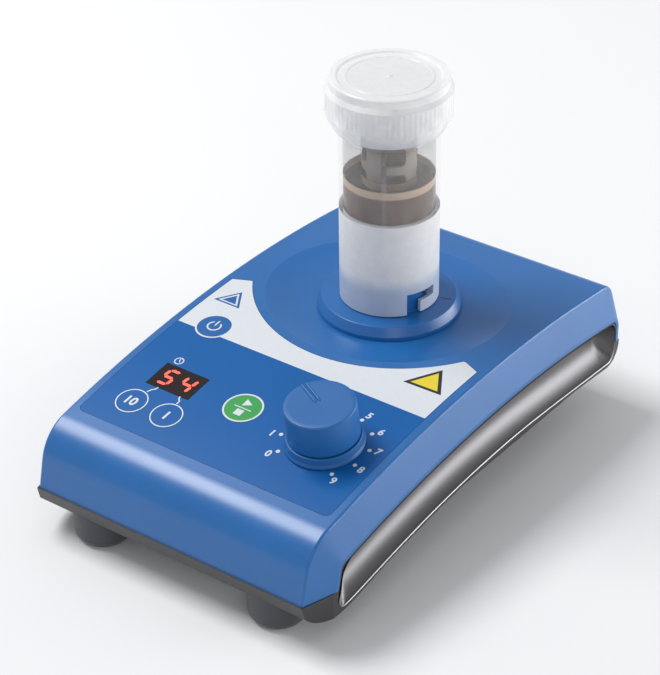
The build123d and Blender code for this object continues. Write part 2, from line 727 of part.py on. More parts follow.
def make_drive():
    seal = [dish_floor_z + z for z in seal_z]
    parts["shaft_seal"] = tube(hub_bore_radius, shaft_radius + running, *seal, 0, tube_y)
    boss_low = mixer_boss_z[0]
    shaft_top = hub_z - 1.2
    parts["motor_shaft"] = cylinder(shaft_radius, can_z - fit, shaft_top, 0, tube_y)
    dog = tube(dog_radius, shaft_radius, hub_pocket_z + 1.0, shaft_top, 0, tube_y)
    dog += cylinder(dog_radius, shaft_top, boss_low - dog_gap, 0, tube_y)
    width, thickness = blade
    dog += block(-width / 2, width / 2, tube_y - thickness / 2, tube_y + thickness / 2,
                 boss_low - dog_gap - fit, boss_low + blade_reach)
    parts["drive_dog"] = dog
    parts["motor_rotor"] = tube(magnet_radius, shaft_radius, stator_z[0] + 0.5, stator_z[1] - 0.5, 0, tube_y)
    inner, outer, depth = shield
    seats = (("bearing_lower", can_z + bearing_floor), ("bearing_upper", bracket_z[0] - bearing_drop))
    for name, low in seats:
        ring = tube(bearing_radius, shaft_radius + running, low, low + bearing_width, 0, tube_y)
        for z in (low, low + bearing_width):
            ring -= tube(outer, inner, z - depth, z + depth, 0, tube_y)
        parts[name] = ring


def make_motor():
    can = cylinder(can_radius, can_z, bracket_z[0], 0, tube_y)
    can -= cylinder(can_radius - can_wall, can_z + can_floor, far, 0, tube_y)
    seat_z = can_z + bearing_floor + bearing_width + bearing_gap
    can += cylinder(bearing_radius + bearing_seat, can_z, seat_z, 0, tube_y)
    can -= cylinder(bearing_radius, can_z + bearing_floor, far, 0, tube_y)
    can -= cylinder(shaft_radius + 0.7, can_z - 1, far, 0, tube_y)
    parts["motor_can"] = can
    low, high = stator_z
    middle = (low + high) / 2
    slot_middle = can_radius - slot_edge
    pitch = 360 / stator_slots
    stack = tube(can_radius - can_wall, stator_bore, low, high, 0, tube_y)
    for k in range(stator_slots):
        slot = Pos(slot_middle, 0, middle) * Box(*slot_size, high - low + 2)
        opening = block(stator_bore - 1, slot_middle, -slot_mouth / 2, slot_mouth / 2, low - 1, high + 1)
        stack -= about_tube(pitch * k, slot + opening)
    parts["motor_stator"] = stack
    coils = []
    for k in range(stator_slots):
        for z0, z1 in ((low - coil_height, low), (high, high + coil_height)):
            coil = Pos(slot_middle, 0, (z0 + z1) / 2) * Box(slot_size[0], coil_width, z1 - z0)
            coils.append(about_tube(pitch * (k + 0.5), coil))
    parts["motor_windings"] = Compound(children=coils)


def make_motor_bracket():
    half = bracket_half
    plate = block(-half, half, tube_y - half, tube_y + half, *bracket_z)
    plate = fillet(plate.edges().filter_by(Axis.Z), bracket_corner)
    seat_z = bracket_z[0] - bearing_drop - bearing_lip
    plate += cylinder(bearing_radius + bearing_seat, seat_z, bracket_z[0], 0, tube_y)
    plate -= cylinder(bearing_radius, bracket_z[0] - bearing_drop,
                      bracket_z[0] - bearing_drop + bearing_width, 0, tube_y)
    plate -= cylinder(shaft_radius + bearing_seat, bracket_z[0] - 10, far, 0, tube_y)
    head_radius, head_height = bracket_screw_head
    screws = []
    for x, y in corners(bracket_screw):
        at = (x, tube_y + y)
        plate -= cylinder(bracket_screw_radius + fit, bracket_z[0] - 1, bracket_z[1] + 1, *at)
        screw = cylinder(head_radius, bracket_z[0] - head_height, bracket_z[0], *at)
        screw += cylinder(bracket_screw_radius, bracket_z[0], bracket_z[1] + bracket_screw_grip, *at)
        screws.append(screw)
    parts["motor_bracket"] = plate
    parts["motor_screws"] = Compound(children=screws)


# ---------------------------------------------------------------- electronics
def driver_holes():
    """Plan positions of the driver board's four supports."""
    dx, dy = (size / 2 - driver_screw_inset for size in driver_size)
    return [(x, driver_y + y) for x, y in corners(dx, dy)]


def make_driver_board():
    w, d = driver_size
    top = driver_top_z
    board = block(-w / 2, w / 2, driver_y - d / 2, driver_y + d / 2, driver_z, top)
    head_radius, head_height = driver_screw_head
    screws = []
    for x, y in driver_holes():
        board -= cylinder(driver_screw_radius + 0.2, driver_z - 1, top + 1, x, y)
        head = cylinder(head_radius, top, top + head_height, x, y)
        screws.append(head + cylinder(driver_screw_radius, driver_z - driver_screw_length, top, x, y))
    parts["driver_board"] = board
    parts["driver_screws"] = Compound(children=screws)
    chips = [block(-24, -14, driver_y - 6, driver_y + 4, top, top + 1.4),
             block(-6, 6, driver_y - 14, driver_y - 6, top, top + 1.2),
             block(10, 19, driver_y - 3, driver_y + 6, top, top + 3.2),
             cylinder(4.0, top, top + 5.0, -19, driver_y + 12),
             cylinder(4.0, top, top + 5.0, -9, driver_y + 12)]
    parts["driver_components"] = Compound(children=chips)


def make_ballast():
    w, d, h = ballast_size
    plate = block(-w / 2, w / 2, driver_y - d / 2, driver_y + d / 2, belly_floor_z, belly_floor_z + h)
    parts["ballast_plate"] = chamfer(plate.edges().filter_by(Axis.Z), ballast_chamfer)


def jack_plane():
    """Plane of the power inlet in the rear face; its z axis points out of the housing."""
    return Plane(origin=(jack_x, rear_y, jack_z), x_dir=(1, 0, 0), z_dir=(0, 1, 0))


def make_jack():
    width, depth, height = jack_body
    at = jack_plane()
    body = block(jack_x - width / 2, jack_x + width / 2, rear_y - wall - depth, rear_y - wall - fit,
                 jack_z - width / 2, jack_z - width / 2 + height)
    body += disc(at, jack_radius, -wall - 0.2, 0)
    body -= disc(at, jack_bore, -9, 1)
    pin = disc(at, jack_pin_radius, -10, -1)
    parts["power_jack"] = body - pin
    parts["jack_contact"] = pin


def wire(points, radius, bend):
    """Round lead along straight runs joined by arcs."""
    path = FilletPolyline(*points, radius=bend)
    section = Plane(origin=path @ 0, z_dir=path % 0) * Circle(radius)
    return sweep(section, path=path)


def make_wiring():
    low = driver_top_z + lead_radius + 0.05
    leads = []
    for k in range(2):
        x = lead_x - 2.0 * k
        start = jack_x - 1.5 - 2 * k
        leads.append(wire([(start, rear_y - wall - jack_body[1], jack_z),
                           (start, rear_y - 23.5, jack_z),
                           (x - 4, tube_y + 12.5, low),
                           (x - 4, tube_y - 23.5, low),
                           (x - 3, driver_y + 8, low),
                           (x + 5, driver_y + 4, low)], lead_radius, 3.0))
    parts["power_leads"] = Compound(children=leads)
    phases = []
    can_front = tube_y - can_radius
    phase_low = driver_top_z + 0.8
    for k in range(3):
        x = -3.0 + 3.0 * k
        phases.append(wire([(x, can_front, phase_z), (x, can_front - 6.5, phase_z),
                            (x, can_front - 10.5, phase_low), (x, driver_y + 19.0, phase_low)],
                           phase_radius, 1.6))
    parts["motor_leads"] = Compound(children=phases)
    ribbon_y = driver_y - 9.0
    under = panel_plane(0, board_y) * Pos(0, 4, -board_drop - board_thickness)
    x0, x1, thickness = ribbon
    parts["ribbon_cable"] = block(x0, x1, ribbon_y - thickness / 2, ribbon_y + thickness / 2,
                                  driver_top_z, under.position.Z - 0.6)


# ---------------------------------------------------------------- mixing tube
def sector(inner, outer, z0, z1, start, sweep_angle):
    """Ring sector about the tube axis, from a start angle through a sweep, in degrees."""
    face = Plane.XZ * Pos((inner + outer) / 2, (z0 + z1) / 2) * Rectangle(outer - inner, z1 - z0)
    return about_tube(start, revolve(face, Axis.Z, sweep_angle))


def make_tube():
    low = flange_z + tube_lift
    floor_under = floor_z - floor_thickness
    neck_bore = neck_radius - neck_wall
    body = turned([(tube_radius, low), (tube_radius, shoulder_z), (neck_radius, shoulder_z),
                   (neck_radius, neck_z), (neck_bore, neck_z),
                   (neck_bore, shoulder_z - shoulder_wall[0]), (tube_bore, shoulder_z - shoulder_wall[1]),
                   (tube_bore, floor_z), (0, floor_z), (0, floor_under),
                   (tube_bore, floor_under), (tube_bore, low)])
    body -= cylinder(mixer_seal_radius, floor_under - 1, floor_z + 1, 0, tube_y)
    slot_half = pin_radius + gap
    leg_angle = degrees(slot_half / tube_radius) + slot_mouth_angle
    end_angle = degrees(slot_half / tube_bore)
    inner, outer = tube_bore - 1, tube_radius + 1
    for start in (0, 180):
        leg = sector(inner, outer, low - 1, pin_z + slot_half, start - bayonet_turn - leg_angle,
                     2 * leg_angle)
        run = sector(inner, outer, pin_z - slot_half, pin_z + slot_half, start - bayonet_turn,
                     bayonet_turn + end_angle)
        body = body - leg - run
    parts["tube_body"] = body


def make_mixer():
    cage = tube(cage_radius, cage_bore, floor_z, floor_z + cage_height, 0, tube_y)
    cage += tube(cage_flange[0], cage_bore, floor_z, floor_z + cage_flange[1], 0, tube_y)
    for low, high in cage_rows:
        window = Pos(cage_bore, 0, floor_z + (low + high) / 2) * Box(cage_bore, cage_window_width, high - low)
        window = fillet(window.edges().filter_by(Axis.X), cage_window_round)
        for k in range(cage_windows):
            cage -= about_tube(360 / cage_windows * (k + 0.5), window)
    parts["stator_cage"] = cage
    parts["mixer_seal"] = tube(mixer_seal_radius, mixer_shaft_radius + running,
                               floor_z - floor_thickness - mixer_seal_edge, floor_z + mixer_seal_edge,
                               0, tube_y)
    blade_low, blade_high = (floor_z + z for z in mixer_span)
    boss_low, boss_high = mixer_boss_z
    rotor = cylinder(mixer_shaft_radius, boss_high, blade_high + 1.0, 0, tube_y)
    rotor += cylinder(mixer_boss_radius, boss_low, boss_high, 0, tube_y)
    reach = mixer_boss_radius + 1
    half = blade[1] / 2 + gap
    rotor -= block(-reach, reach, tube_y - half, tube_y + half, boss_low - 1, boss_low + mixer_slot_depth)
    rotor += cylinder(mixer_core_radius, blade_low, blade_high, 0, tube_y)
    for k in range(mixer_blades):
        vane = block(0, mixer_radius, -mixer_blade / 2, mixer_blade / 2, blade_low, blade_high)
        rotor += about_tube(360 / mixer_blades * k, vane)
    parts["mixer_rotor"] = rotor


def make_cap():
    bore = neck_radius + thread_depth
    outer = bore + cap_wall
    crown = outer - cap_step
    low = shoulder_z + cap_skirt_gap
    plate_top = cap_top_z - cap_recess
    plate_low = plate_top - cap_plate
    parts["screw_cap"] = turned([
        (bore, low), (bore + cap_flare[0], low), (outer, low + cap_flare[1]),
        (outer, cap_top_z - cap_step_z[0]), (crown, cap_top_z - cap_step_z[1]),
        (crown, cap_top_z - cap_edge), (crown - cap_edge, cap_top_z), (bore + 0.3, cap_top_z),
        (bore - 0.3, plate_top), (0, plate_top), (0, plate_low), (bore, plate_low)])
    liner_top = plate_low - running
    parts["cap_liner"] = cylinder(neck_radius - liner_inset, liner_top - liner_thickness, liner_top, 0,
                                  tube_y)


# ---------------------------------------------------------------- build
make_upper_housing()
make_panel_film()
make_lower_housing()
make_feet()
make_housing_screws()
make_keys()
make_display()
make_control_board()
make_speed_control()
make_bayonet_seat()
make_drive()
make_motor()
make_motor_bracket()
make_driver_board()
make_ballast()
make_jack()
make_wiring()
make_tube()
make_mixer()
make_cap()

os.makedirs("parts", exist_ok=True)
for name, solid in parts.items():
    export_step(solid, f"parts/{name}.step")
print(len(parts), "nodes")
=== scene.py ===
"""Compact tube-mixing drive: the visible pieces and finishes round the fixed frame.

Lengths in this file are millimetres in the row frame (+Z up, control panel toward -Y);
`build` turns them into metres when a mesh is made.
"""

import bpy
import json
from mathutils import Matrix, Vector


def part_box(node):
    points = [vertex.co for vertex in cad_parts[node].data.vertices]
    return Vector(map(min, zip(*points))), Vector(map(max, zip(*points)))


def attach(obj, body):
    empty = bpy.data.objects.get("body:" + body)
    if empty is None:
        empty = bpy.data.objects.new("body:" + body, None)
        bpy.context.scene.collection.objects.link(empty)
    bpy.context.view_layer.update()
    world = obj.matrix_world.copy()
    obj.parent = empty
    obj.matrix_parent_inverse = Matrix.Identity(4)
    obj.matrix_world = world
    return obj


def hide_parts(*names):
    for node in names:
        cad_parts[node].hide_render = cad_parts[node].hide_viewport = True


bl_info = {
    "name": "Tube mixing drive",
    "version": (1, 0, 0),
    "blender": (4, 5, 0),
    "location": "View3D > Sidebar > Mixing drive",
    "description": "Shells, panel print, knob, mixing tube and finishes of a small tube-mixing drive",
    "category": "Add Mesh",
}

import json
from math import asin, cos, pi, radians, sin, sqrt

import bmesh
import bpy
import numpy as np
from mathutils import Matrix, Vector

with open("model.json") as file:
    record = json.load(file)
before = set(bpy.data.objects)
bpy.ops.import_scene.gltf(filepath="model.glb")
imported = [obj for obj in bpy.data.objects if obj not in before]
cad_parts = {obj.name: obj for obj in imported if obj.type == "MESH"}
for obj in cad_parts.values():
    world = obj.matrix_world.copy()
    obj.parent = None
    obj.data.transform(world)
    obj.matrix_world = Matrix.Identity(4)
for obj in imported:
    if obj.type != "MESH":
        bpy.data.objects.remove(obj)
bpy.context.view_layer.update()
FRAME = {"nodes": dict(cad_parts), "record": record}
NODES = FRAME["nodes"]
MM = 0.001
UP = (0.0, 0.0, 1.0)


def node_box(name):
    """Lowest and highest corner of a frame node, in millimetres."""
    low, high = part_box(name)
    return np.array(low) / MM, np.array(high) / MM


# ---- places taken from the frame
TUBE_LOW, TUBE_HIGH = node_box("tube_body")
CAP_LOW, CAP_HIGH = node_box("screw_cap")
SEAT_LOW, SEAT_HIGH = node_box("bayonet_seat")
HOUSING_HIGH = node_box("upper_housing")[1]
LOWER_LOW, LOWER_HIGH = node_box("lower_housing")
FILM_HIGH = node_box("panel_film")[1]
DISPLAY_LOW, DISPLAY_HIGH = node_box("display_window")
CAGE_LOW = node_box("stator_cage")[0]

BASE_LEDGE = 0.15              # how far the lower housing stands before the upper one
TUBE_Y = float(TUBE_LOW[1] + TUBE_HIGH[1]) / 2
TUBE_RADIUS = float(TUBE_HIGH[0])
FLOOR_Z = float(CAGE_LOW[2])
FRONT_Y = float(LOWER_LOW[1]) + BASE_LEDGE
REAR_Y = float(HOUSING_HIGH[1])
SIDE_X = float(LOWER_HIGH[0])
FILM_X = float(FILM_HIGH[0])

# ---- the arched top
CROWN_Y = 24.0
CROWN_Z = 43.25
CROWN_RADIUS = 409.98
CROWN_CENTRE_Z = CROWN_Z - CROWN_RADIUS
NOSE_RADIUS = 13.0
NOSE_Y = FRONT_Y + 15.2
NOSE_Z = CROWN_CENTRE_Z + sqrt((CROWN_RADIUS - NOSE_RADIUS) ** 2 - (NOSE_Y - CROWN_Y) ** 2)
NOSE_DRAFT = radians(12.9)
RECESS_EDGE = 12.2             # recess mouth under the outermost arch
RECESS_REAR = 2.7              # recess mouth before the rear face
RECESS_CORNER = 3.6
RECESS_END = 6.0               # length over which the trough rises at its ends
TROUGH = (0.45, 0.8)           # how fast it deepens from its top and from its lower edge
KNOB_AT = (26.2, FRONT_Y + 38.4)
KEYS = {                       # node: body, x, y, radius
    "button_tens": ("key_tens", -32.3, FRONT_Y + 25.6, 4.6),
    "button_ones": ("key_ones", -19.6, FRONT_Y + 25.6, 4.6),
    "button_start_stop": ("key_start_stop", -2.4, FRONT_Y + 38.5, 5.7),
    "button_power": ("key_power", -33.0, TUBE_Y - 41.4, 4.8),
}
KEY_GAP = 0.3                  # width of the hole round a key in the frame


# ---- settings
def colour(name, description, default):
    return bpy.props.FloatVectorProperty(name=name, description=description, default=default,
                                         subtype="COLOR", size=3, min=0.0, max=1.0)


def length(name, description, default):
    return bpy.props.FloatProperty(name=name, description=description, default=default * MM,
                                   unit="LENGTH", subtype="DISTANCE", precision=5)


class DriveColours(bpy.types.PropertyGroup):
    """Colours of the drive's finishes."""
    housing: colour("Housing", "Satin blue of the housing, knob and seat", (0.010, 0.130, 0.400))
    film: colour("Panel film", "Blue ground of the control panel", (0.004, 0.108, 0.365))
    base: colour("Base", "Glossy graphite of the lower housing and the side recesses", (0.040, 0.039, 0.041))
    rubber: colour("Feet", "Rubber of the feet", (0.060, 0.062, 0.075))
    white: colour("Print", "White print of the panel", (0.70, 0.73, 0.77))
    start: colour("Start key", "Green of the start key", (0.030, 0.340, 0.070))
    digits: colour("Digits", "Glow of the display's digits", (1.0, 0.035, 0.02))
    plastic: colour("Tube", "Frosted plastic of the mixing tube", (0.86, 0.86, 0.87))
    liquid: colour("Sample", "Brown of the liquid sample", (0.130, 0.074, 0.046))


class DriveSizes(bpy.types.PropertyGroup):
    """Sizes of the detail that is added to the frame."""
    print_height: length("Print height", "Thickness of the panel print", 0.03)
    trim_depth: length("Recess depth", "Depth of the glossy side recesses", 5.2)
    trim_bead: length("Recess bead", "Radius of the thin bead round a side recess", 0.32)
    thread_pitch: length("Thread pitch", "Rise of the neck's thread in one turn", 3.0)
    liquid_gap: length("Air gap", "Height left free over the sample", 1.2)


def colours():
    return bpy.context.scene.drive_colours


def sizes():
    return bpy.context.scene.drive_sizes


# ---- mesh making
def crown_height(y):
    """Height of the arched top: a circular arc about a centre far below."""
    return CROWN_CENTRE_Z + np.sqrt(CROWN_RADIUS ** 2 - (np.asarray(y, float) - CROWN_Y) ** 2)


def on_panel(points):
    """Carries (plan x, plan y, height over the panel) onto the arched top.

    The point on the arc at y is moved along the arc's normal by the height.
    """
    points = np.asarray(points, float)
    x, y, rise = points[..., 0], points[..., 1], points[..., 2]
    lean = np.arcsin((y - CROWN_Y) / CROWN_RADIUS)
    return np.stack([x, y + rise * np.sin(lean), crown_height(y) + rise * np.cos(lean)], axis=-1)


def panel_matrix(x, y):
    """Rotation and place of the plane that touches the arched top at x, y."""
    lean = asin((y - CROWN_Y) / CROWN_RADIUS)
    turn = np.array([[1, 0, 0], [0, cos(lean), sin(lean)], [0, -sin(lean), cos(lean)]])
    return turn, np.array([x, y, float(crown_height(y))])


def grid(points, close_u=False, close_v=False):
    """Quads over a grid of points; a closed direction joins its last row to its first."""
    nu, nv = points.shape[:2]
    index = np.arange(nu * nv).reshape(nu, nv)
    if close_u:
        index = np.vstack([index, index[:1]])
    if close_v:
        index = np.hstack([index, index[:, :1]])
    quads = np.stack([index[:-1, :-1], index[1:, :-1], index[1:, 1:], index[:-1, 1:]], axis=-1)
    return points.reshape(-1, 3), quads.reshape(-1, 4).tolist()


def capped(loops):
    """Closed sections (rows of a grid) joined into a bar, with a flat face on each end."""
    points, faces = grid(loops, close_v=True)
    last = (loops.shape[0] - 1) * loops.shape[1]
    faces.append(list(range(loops.shape[1])))
    faces.append(list(range(last + loops.shape[1] - 1, last - 1, -1)))
    return points, faces


def build(name, shapes, body, slot, finish=None, replaces=(), smooth=True):
    """One object from (points, faces) shapes in millimetres, its seams closed and faces outward.

    Without a finish of its own it has the finish of its slot.
    """
    points, faces, start = [], [], 0
    for shape_points, shape_faces in shapes:
        points.append(shape_points)
        faces += [[corner + start for corner in face] for face in shape_faces]
        start += len(shape_points)
    mesh = bpy.data.meshes.new(name)
    mesh.from_pydata((np.concatenate(points) * MM).tolist(), [], faces)
    work = bmesh.new()
    work.from_mesh(mesh)
    bmesh.ops.remove_doubles(work, verts=work.verts, dist=1e-6)
    bmesh.ops.dissolve_degenerate(work, edges=work.edges, dist=1e-7)
    bmesh.ops.recalc_face_normals(work, faces=work.faces)
    work.to_mesh(mesh)
    work.free()
    mesh.polygons.foreach_set("use_smooth", np.full(len(mesh.polygons), smooth))
    if smooth:
        mesh.set_sharp_from_angle(angle=radians(40))
    obj = bpy.data.objects.new(name, mesh)
    bpy.context.scene.collection.objects.link(obj)
    mesh.materials.append(finish or finish_of(slot))
    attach(obj, body)
    if replaces:
        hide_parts(*replaces)
    return obj


def softened(corners, radii, steps=5, hold=0.12):
    """Closed outline with rounded corners.

    Each corner becomes a quadratic curve between two points a tangent length away
    from it, with a point just before and after the curve that keeps the flats flat.
    """
    at = np.asarray(corners, float)
    radii = np.broadcast_to(np.asarray(radii, float), len(at))[:, None]
    back, ahead = np.roll(at, 1, 0) - at, np.roll(at, -1, 0) - at
    back_length = np.linalg.norm(back, axis=1, keepdims=True)
    ahead_length = np.linalg.norm(ahead, axis=1, keepdims=True)
    back, ahead = back / back_length, ahead / ahead_length
    inner = np.arccos(np.clip((back * ahead).sum(1, keepdims=True), -1, 1))
    room = 0.42 * np.minimum(back_length, ahead_length)
    reach = np.minimum(radii / np.tan(np.maximum(inner, 0.05) / 2), room)
    t = np.linspace(0, 1, steps + 1)[:, None, None]
    start, end = at + back * reach, at + ahead * reach
    curve = (1 - t) ** 2 * start + 2 * t * (1 - t) * at + t ** 2 * end
    keep = np.minimum(hold, room / 4)
    rows = np.concatenate([(start + back * keep)[None], curve, (end + ahead * keep)[None]])
    return rows.transpose(1, 0, 2).reshape(-1, 2)


def turned(outline, segments=96, centre=(0.0, TUBE_Y), wave=None):
    """Surface of revolution of a closed (radius, z) outline about an upright axis.

    `wave` gives a change of radius from the angle and height, for flutes and ridges.
    """
    angle = np.linspace(0, 2 * pi, segments, endpoint=False)[:, None]
    radius = np.broadcast_to(outline[None, :, 0], (segments, len(outline))).copy()
    height = np.broadcast_to(outline[None, :, 1], radius.shape)
    if wave is not None:
        radius += wave(angle, height, radius)
    points = np.stack([centre[0] + radius * np.cos(angle), centre[1] + radius * np.sin(angle), height], -1)
    return grid(points, close_u=True, close_v=True)


def placed(shape, turn, origin):
    """A shape turned and moved by a rotation and an origin."""
    points, faces = shape
    return points @ turn.T + origin, faces


def swept(path, radius, sides=10, axis=(1.0, 0.0, 0.0)):
    """Round bar along a path: circles in the plane of a fixed axis and the path's side direction."""
    path = np.asarray(path, float)
    run = np.gradient(path, axis=0)
    run /= np.linalg.norm(run, axis=1, keepdims=True)
    side = np.cross(run, np.broadcast_to(np.asarray(axis, float), path.shape))
    side /= np.linalg.norm(side, axis=1, keepdims=True)
    up = np.cross(side, run)
    angle = np.linspace(0, 2 * pi, sides, endpoint=False)[None, :, None]
    radius = np.broadcast_to(np.asarray(radius, float), len(path))[:, None, None]
    return capped(path[:, None] + radius * (np.cos(angle) * side[:, None] + np.sin(angle) * up[:, None]))


def strip(left, right, low, high, across=3, closed=False):
    """Thin closed slab between two plan lines, from one height over the panel to another."""
    left, right = np.asarray(left, float), np.asarray(right, float)
    t = np.linspace(0, 1, across)[None, :, None]
    plan = left[:, None] * (1 - t) + right[:, None] * t
    top = np.concatenate([plan, np.full(plan.shape[:2] + (1,), high)], -1)
    bottom = np.concatenate([plan[:, ::-1], np.full(plan.shape[:2] + (1,), low)], -1)
    loops = np.concatenate([top, bottom], axis=1)
    return grid(loops, close_u=True, close_v=True) if closed else capped(loops)


def ring(x, y, inner, outer, low, high, segments=72, start=0.0, sweep=2 * pi):
    """Thin flat ring, or a part of one, in plan."""
    whole = sweep >= 2 * pi
    angle = start + np.linspace(0, sweep, segments, endpoint=not whole)
    way = np.stack([np.cos(angle), np.sin(angle)], -1)
    centre = np.array([x, y])
    return strip(centre + inner * way, centre + outer * way, low, high, 3, whole)


def disc(x, y, radius, low, high, segments=32):
    """Thin round plate in plan."""
    return ring(x, y, 0.0, radius, low, high, segments)


def line(points, width, low, high):
    """Thin flat line of one width along plan points."""
    points = np.asarray(points, float)
    run = np.gradient(points, axis=0)
    run /= np.linalg.norm(run, axis=1, keepdims=True)
    side = np.stack([-run[:, 1], run[:, 0]], -1) * width / 2
    return strip(points + side, points - side, low, high, 2)


def polygon(corners, low, high):
    """Thin flat plate with straight edges, given by its plan corners."""
    corners = np.asarray(corners, float)
    loops = np.stack([np.column_stack([corners, np.full(len(corners), h)]) for h in (low, high)])
    return capped(loops)


def triangle(corners, low, high, rows=14):
    """Thin triangular plate in plan: rows between its two sides, from the base to the apex."""
    a, b, c = np.asarray(corners, float)
    t = np.linspace(0, 1, rows)[:, None]
    return strip(a + (c - a) * t, b + (c - b) * t, low, high, 4)


def laid(shapes):
    """Shapes in panel plan carried onto the arched top."""
    return [(on_panel(points), faces) for points, faces in shapes]


def lettering(text, size, x, y, low, high, slant=0.05):
    """Generic numerals as a thin closed slab, centred at a plan point."""
    curve = bpy.data.curves.new("numerals", "FONT")
    curve.body = text
    curve.size = size
    curve.shear = slant
    curve.offset = size * 0.03
    curve.extrude = 0.5
    curve.resolution_u = 4
    curve.align_x = "CENTER"
    curve.align_y = "CENTER"
    holder = bpy.data.objects.new("numerals", curve)
    bpy.context.scene.collection.objects.link(holder)
    bpy.context.view_layer.update()
    mesh = bpy.data.meshes.new_from_object(holder.evaluated_get(bpy.context.evaluated_depsgraph_get()))
    points = np.empty(len(mesh.vertices) * 3)
    mesh.vertices.foreach_get("co", points)
    points = points.reshape(-1, 3)
    faces = [list(face.vertices) for face in mesh.polygons]
    bpy.data.objects.remove(holder)
    bpy.data.curves.remove(curve)
    bpy.data.meshes.remove(mesh)
    middle = (points[:, :2].min(0) + points[:, :2].max(0)) / 2
    points[:, :2] += np.array([x, y]) - middle
    points[:, 2] = np.where(points[:, 2] > 0, high, low)
    return points, faces


# ---- shader expressions
def operation(kind, reflected=False):
    """Operator method that adds one Math node; a reflected one has the other value first."""
    def method(self, other):
        values = (other, self) if reflected else (self, other)
        return self.tree.add("ShaderNodeMath", {"operation": kind}, dict(enumerate(values)))
    return method


class Socket:
    """A shader output that can be used in arithmetic; each operation adds a Math node."""

    def __init__(self, tree, output):
        self.tree, self.output = tree, output

    __add__, __radd__ = operation("ADD"), operation("ADD", True)
    __sub__, __rsub__ = operation("SUBTRACT"), operation("SUBTRACT", True)
    __mul__, __rmul__ = operation("MULTIPLY"), operation("MULTIPLY", True)
    __truediv__, __rtruediv__ = operation("DIVIDE"), operation("DIVIDE", True)

    def math(self, kind, *others, clamp=False):
        """A Math node of any other kind, or one whose result is clamped to 0 and 1."""
        return self.tree.add("ShaderNodeMath", {"operation": kind, "use_clamp": clamp},
                             dict(enumerate((self, *others))))

    def limited(self, low, high):
        """0 below `low`, 1 above `high`, straight in between."""
        return (self - low).math("DIVIDE", high - low, clamp=True)


class Finish:
    """A procedural material: one Principled surface and the nodes that vary it."""

    def __init__(self, name):
        self.material = bpy.data.materials.new(name)
        self.material.use_nodes = True
        self.nodes = self.material.node_tree.nodes
        self.links = self.material.node_tree.links
        self.surface = self.nodes["Principled BSDF"]

    def add(self, kind, settings=None, sockets=None, output=0):
        """One node: its settings first, then the values or links of its sockets."""
        node = self.nodes.new(kind)
        for key, value in (settings or {}).items():
            if key == "stops":
                ramp = node.color_ramp
                while len(ramp.elements) < len(value):
                    ramp.elements.new(0.5)
                for element, (position, shade) in zip(ramp.elements, value):
                    element.position, element.color = position, shade
            else:
                setattr(node, key, value)
        for key, value in (sockets or {}).items():
            self.feed(node.inputs[key], value)
        return Socket(self, node.outputs[output])

    def feed(self, target, value):
        if isinstance(value, Socket):
            value = value.output
        if isinstance(value, bpy.types.NodeSocket):
            self.links.new(value, target)
        else:
            target.default_value = value

    def set(self, **values):
        """Constants or links on the Principled surface, by socket name with _ for spaces."""
        for key, value in values.items():
            name = key.replace("_", " ")
            if isinstance(value, tuple) and len(value) == 3:
                value = (*value, 1.0)
            self.feed(self.surface.inputs[name], value)
        return self

    def place(self):
        """Object coordinates in metres."""
        return self.add("ShaderNodeTexCoord", output="Object")

    def height(self):
        """Height in the row frame, in metres."""
        return self.add("ShaderNodeSeparateXYZ", sockets={0: self.place()}, output="Z")

    def under_crown(self):
        """Depth under the arched top, in metres: its radius less the distance from its centre."""
        where = self.place()
        y = self.add("ShaderNodeSeparateXYZ", sockets={0: where}, output="Y") - CROWN_Y * MM
        z = self.add("ShaderNodeSeparateXYZ", sockets={0: where}, output="Z") - CROWN_CENTRE_Z * MM
        return CROWN_RADIUS * MM - (y * y + z * z).math("SQRT")

    def noise(self, size, detail=2.0, stretch=(1.0, 1.0, 1.0)):
        """Noise whose cells measure about `size` millimetres, from 0 to 1."""
        where = self.add("ShaderNodeMapping", sockets={"Vector": self.place(), "Scale": stretch})
        return self.add("ShaderNodeTexNoise",
                        sockets={"Vector": where, "Scale": 1 / (size * MM), "Detail": detail})

    def mix(self, amount, first, second):
        """Colour between two colours."""
        colours_ = [(*c, 1.0) if isinstance(c, tuple) and len(c) == 3 else c for c in (first, second)]
        return self.add("ShaderNodeMix", {"data_type": "RGBA"},
                        {0: amount, 6: colours_[0], 7: colours_[1]}, output=2)

    def bump(self, height, depth, strength=1.0):
        """Bump of a given depth in millimetres, on the surface's normal."""
        shape = self.add("ShaderNodeBump", sockets={"Strength": strength, "Distance": depth * MM,
                                                    "Height": height})
        return self.set(Normal=shape)


def shade(base, factor):
    """A colour made lighter or darker."""
    return tuple(min(1.0, channel * factor) for channel in base)


def moulded(name, base, roughness, grain, depth, spread=0.10, spotty=0.06):
    """Moulded plastic: fine grain in the surface, slight cloudiness and handling sheen."""
    finish = Finish(name)
    cloud = finish.noise(18.0, 3.0)
    fine = finish.noise(grain, 4.0)
    finish.set(Base_Color=finish.mix(cloud, shade(base, 1 - spread), shade(base, 1 + spread)),
               Roughness=(roughness - spotty) + cloud * spotty + fine * spotty,
               Specular_IOR_Level=0.5)
    finish.bump(fine, depth, 0.5)
    return finish


def housing_finish():
    finish = moulded("satin_blue", tuple(colours().housing), 0.34, 0.35, 0.012)
    return finish.set(Coat_Weight=0.30, Coat_Roughness=0.28).material


def knob_finish():
    finish = moulded("knob_blue", shade(tuple(colours().housing), 0.95), 0.44, 0.28, 0.016)
    return finish.set(Coat_Weight=0.08, Coat_Roughness=0.3).material


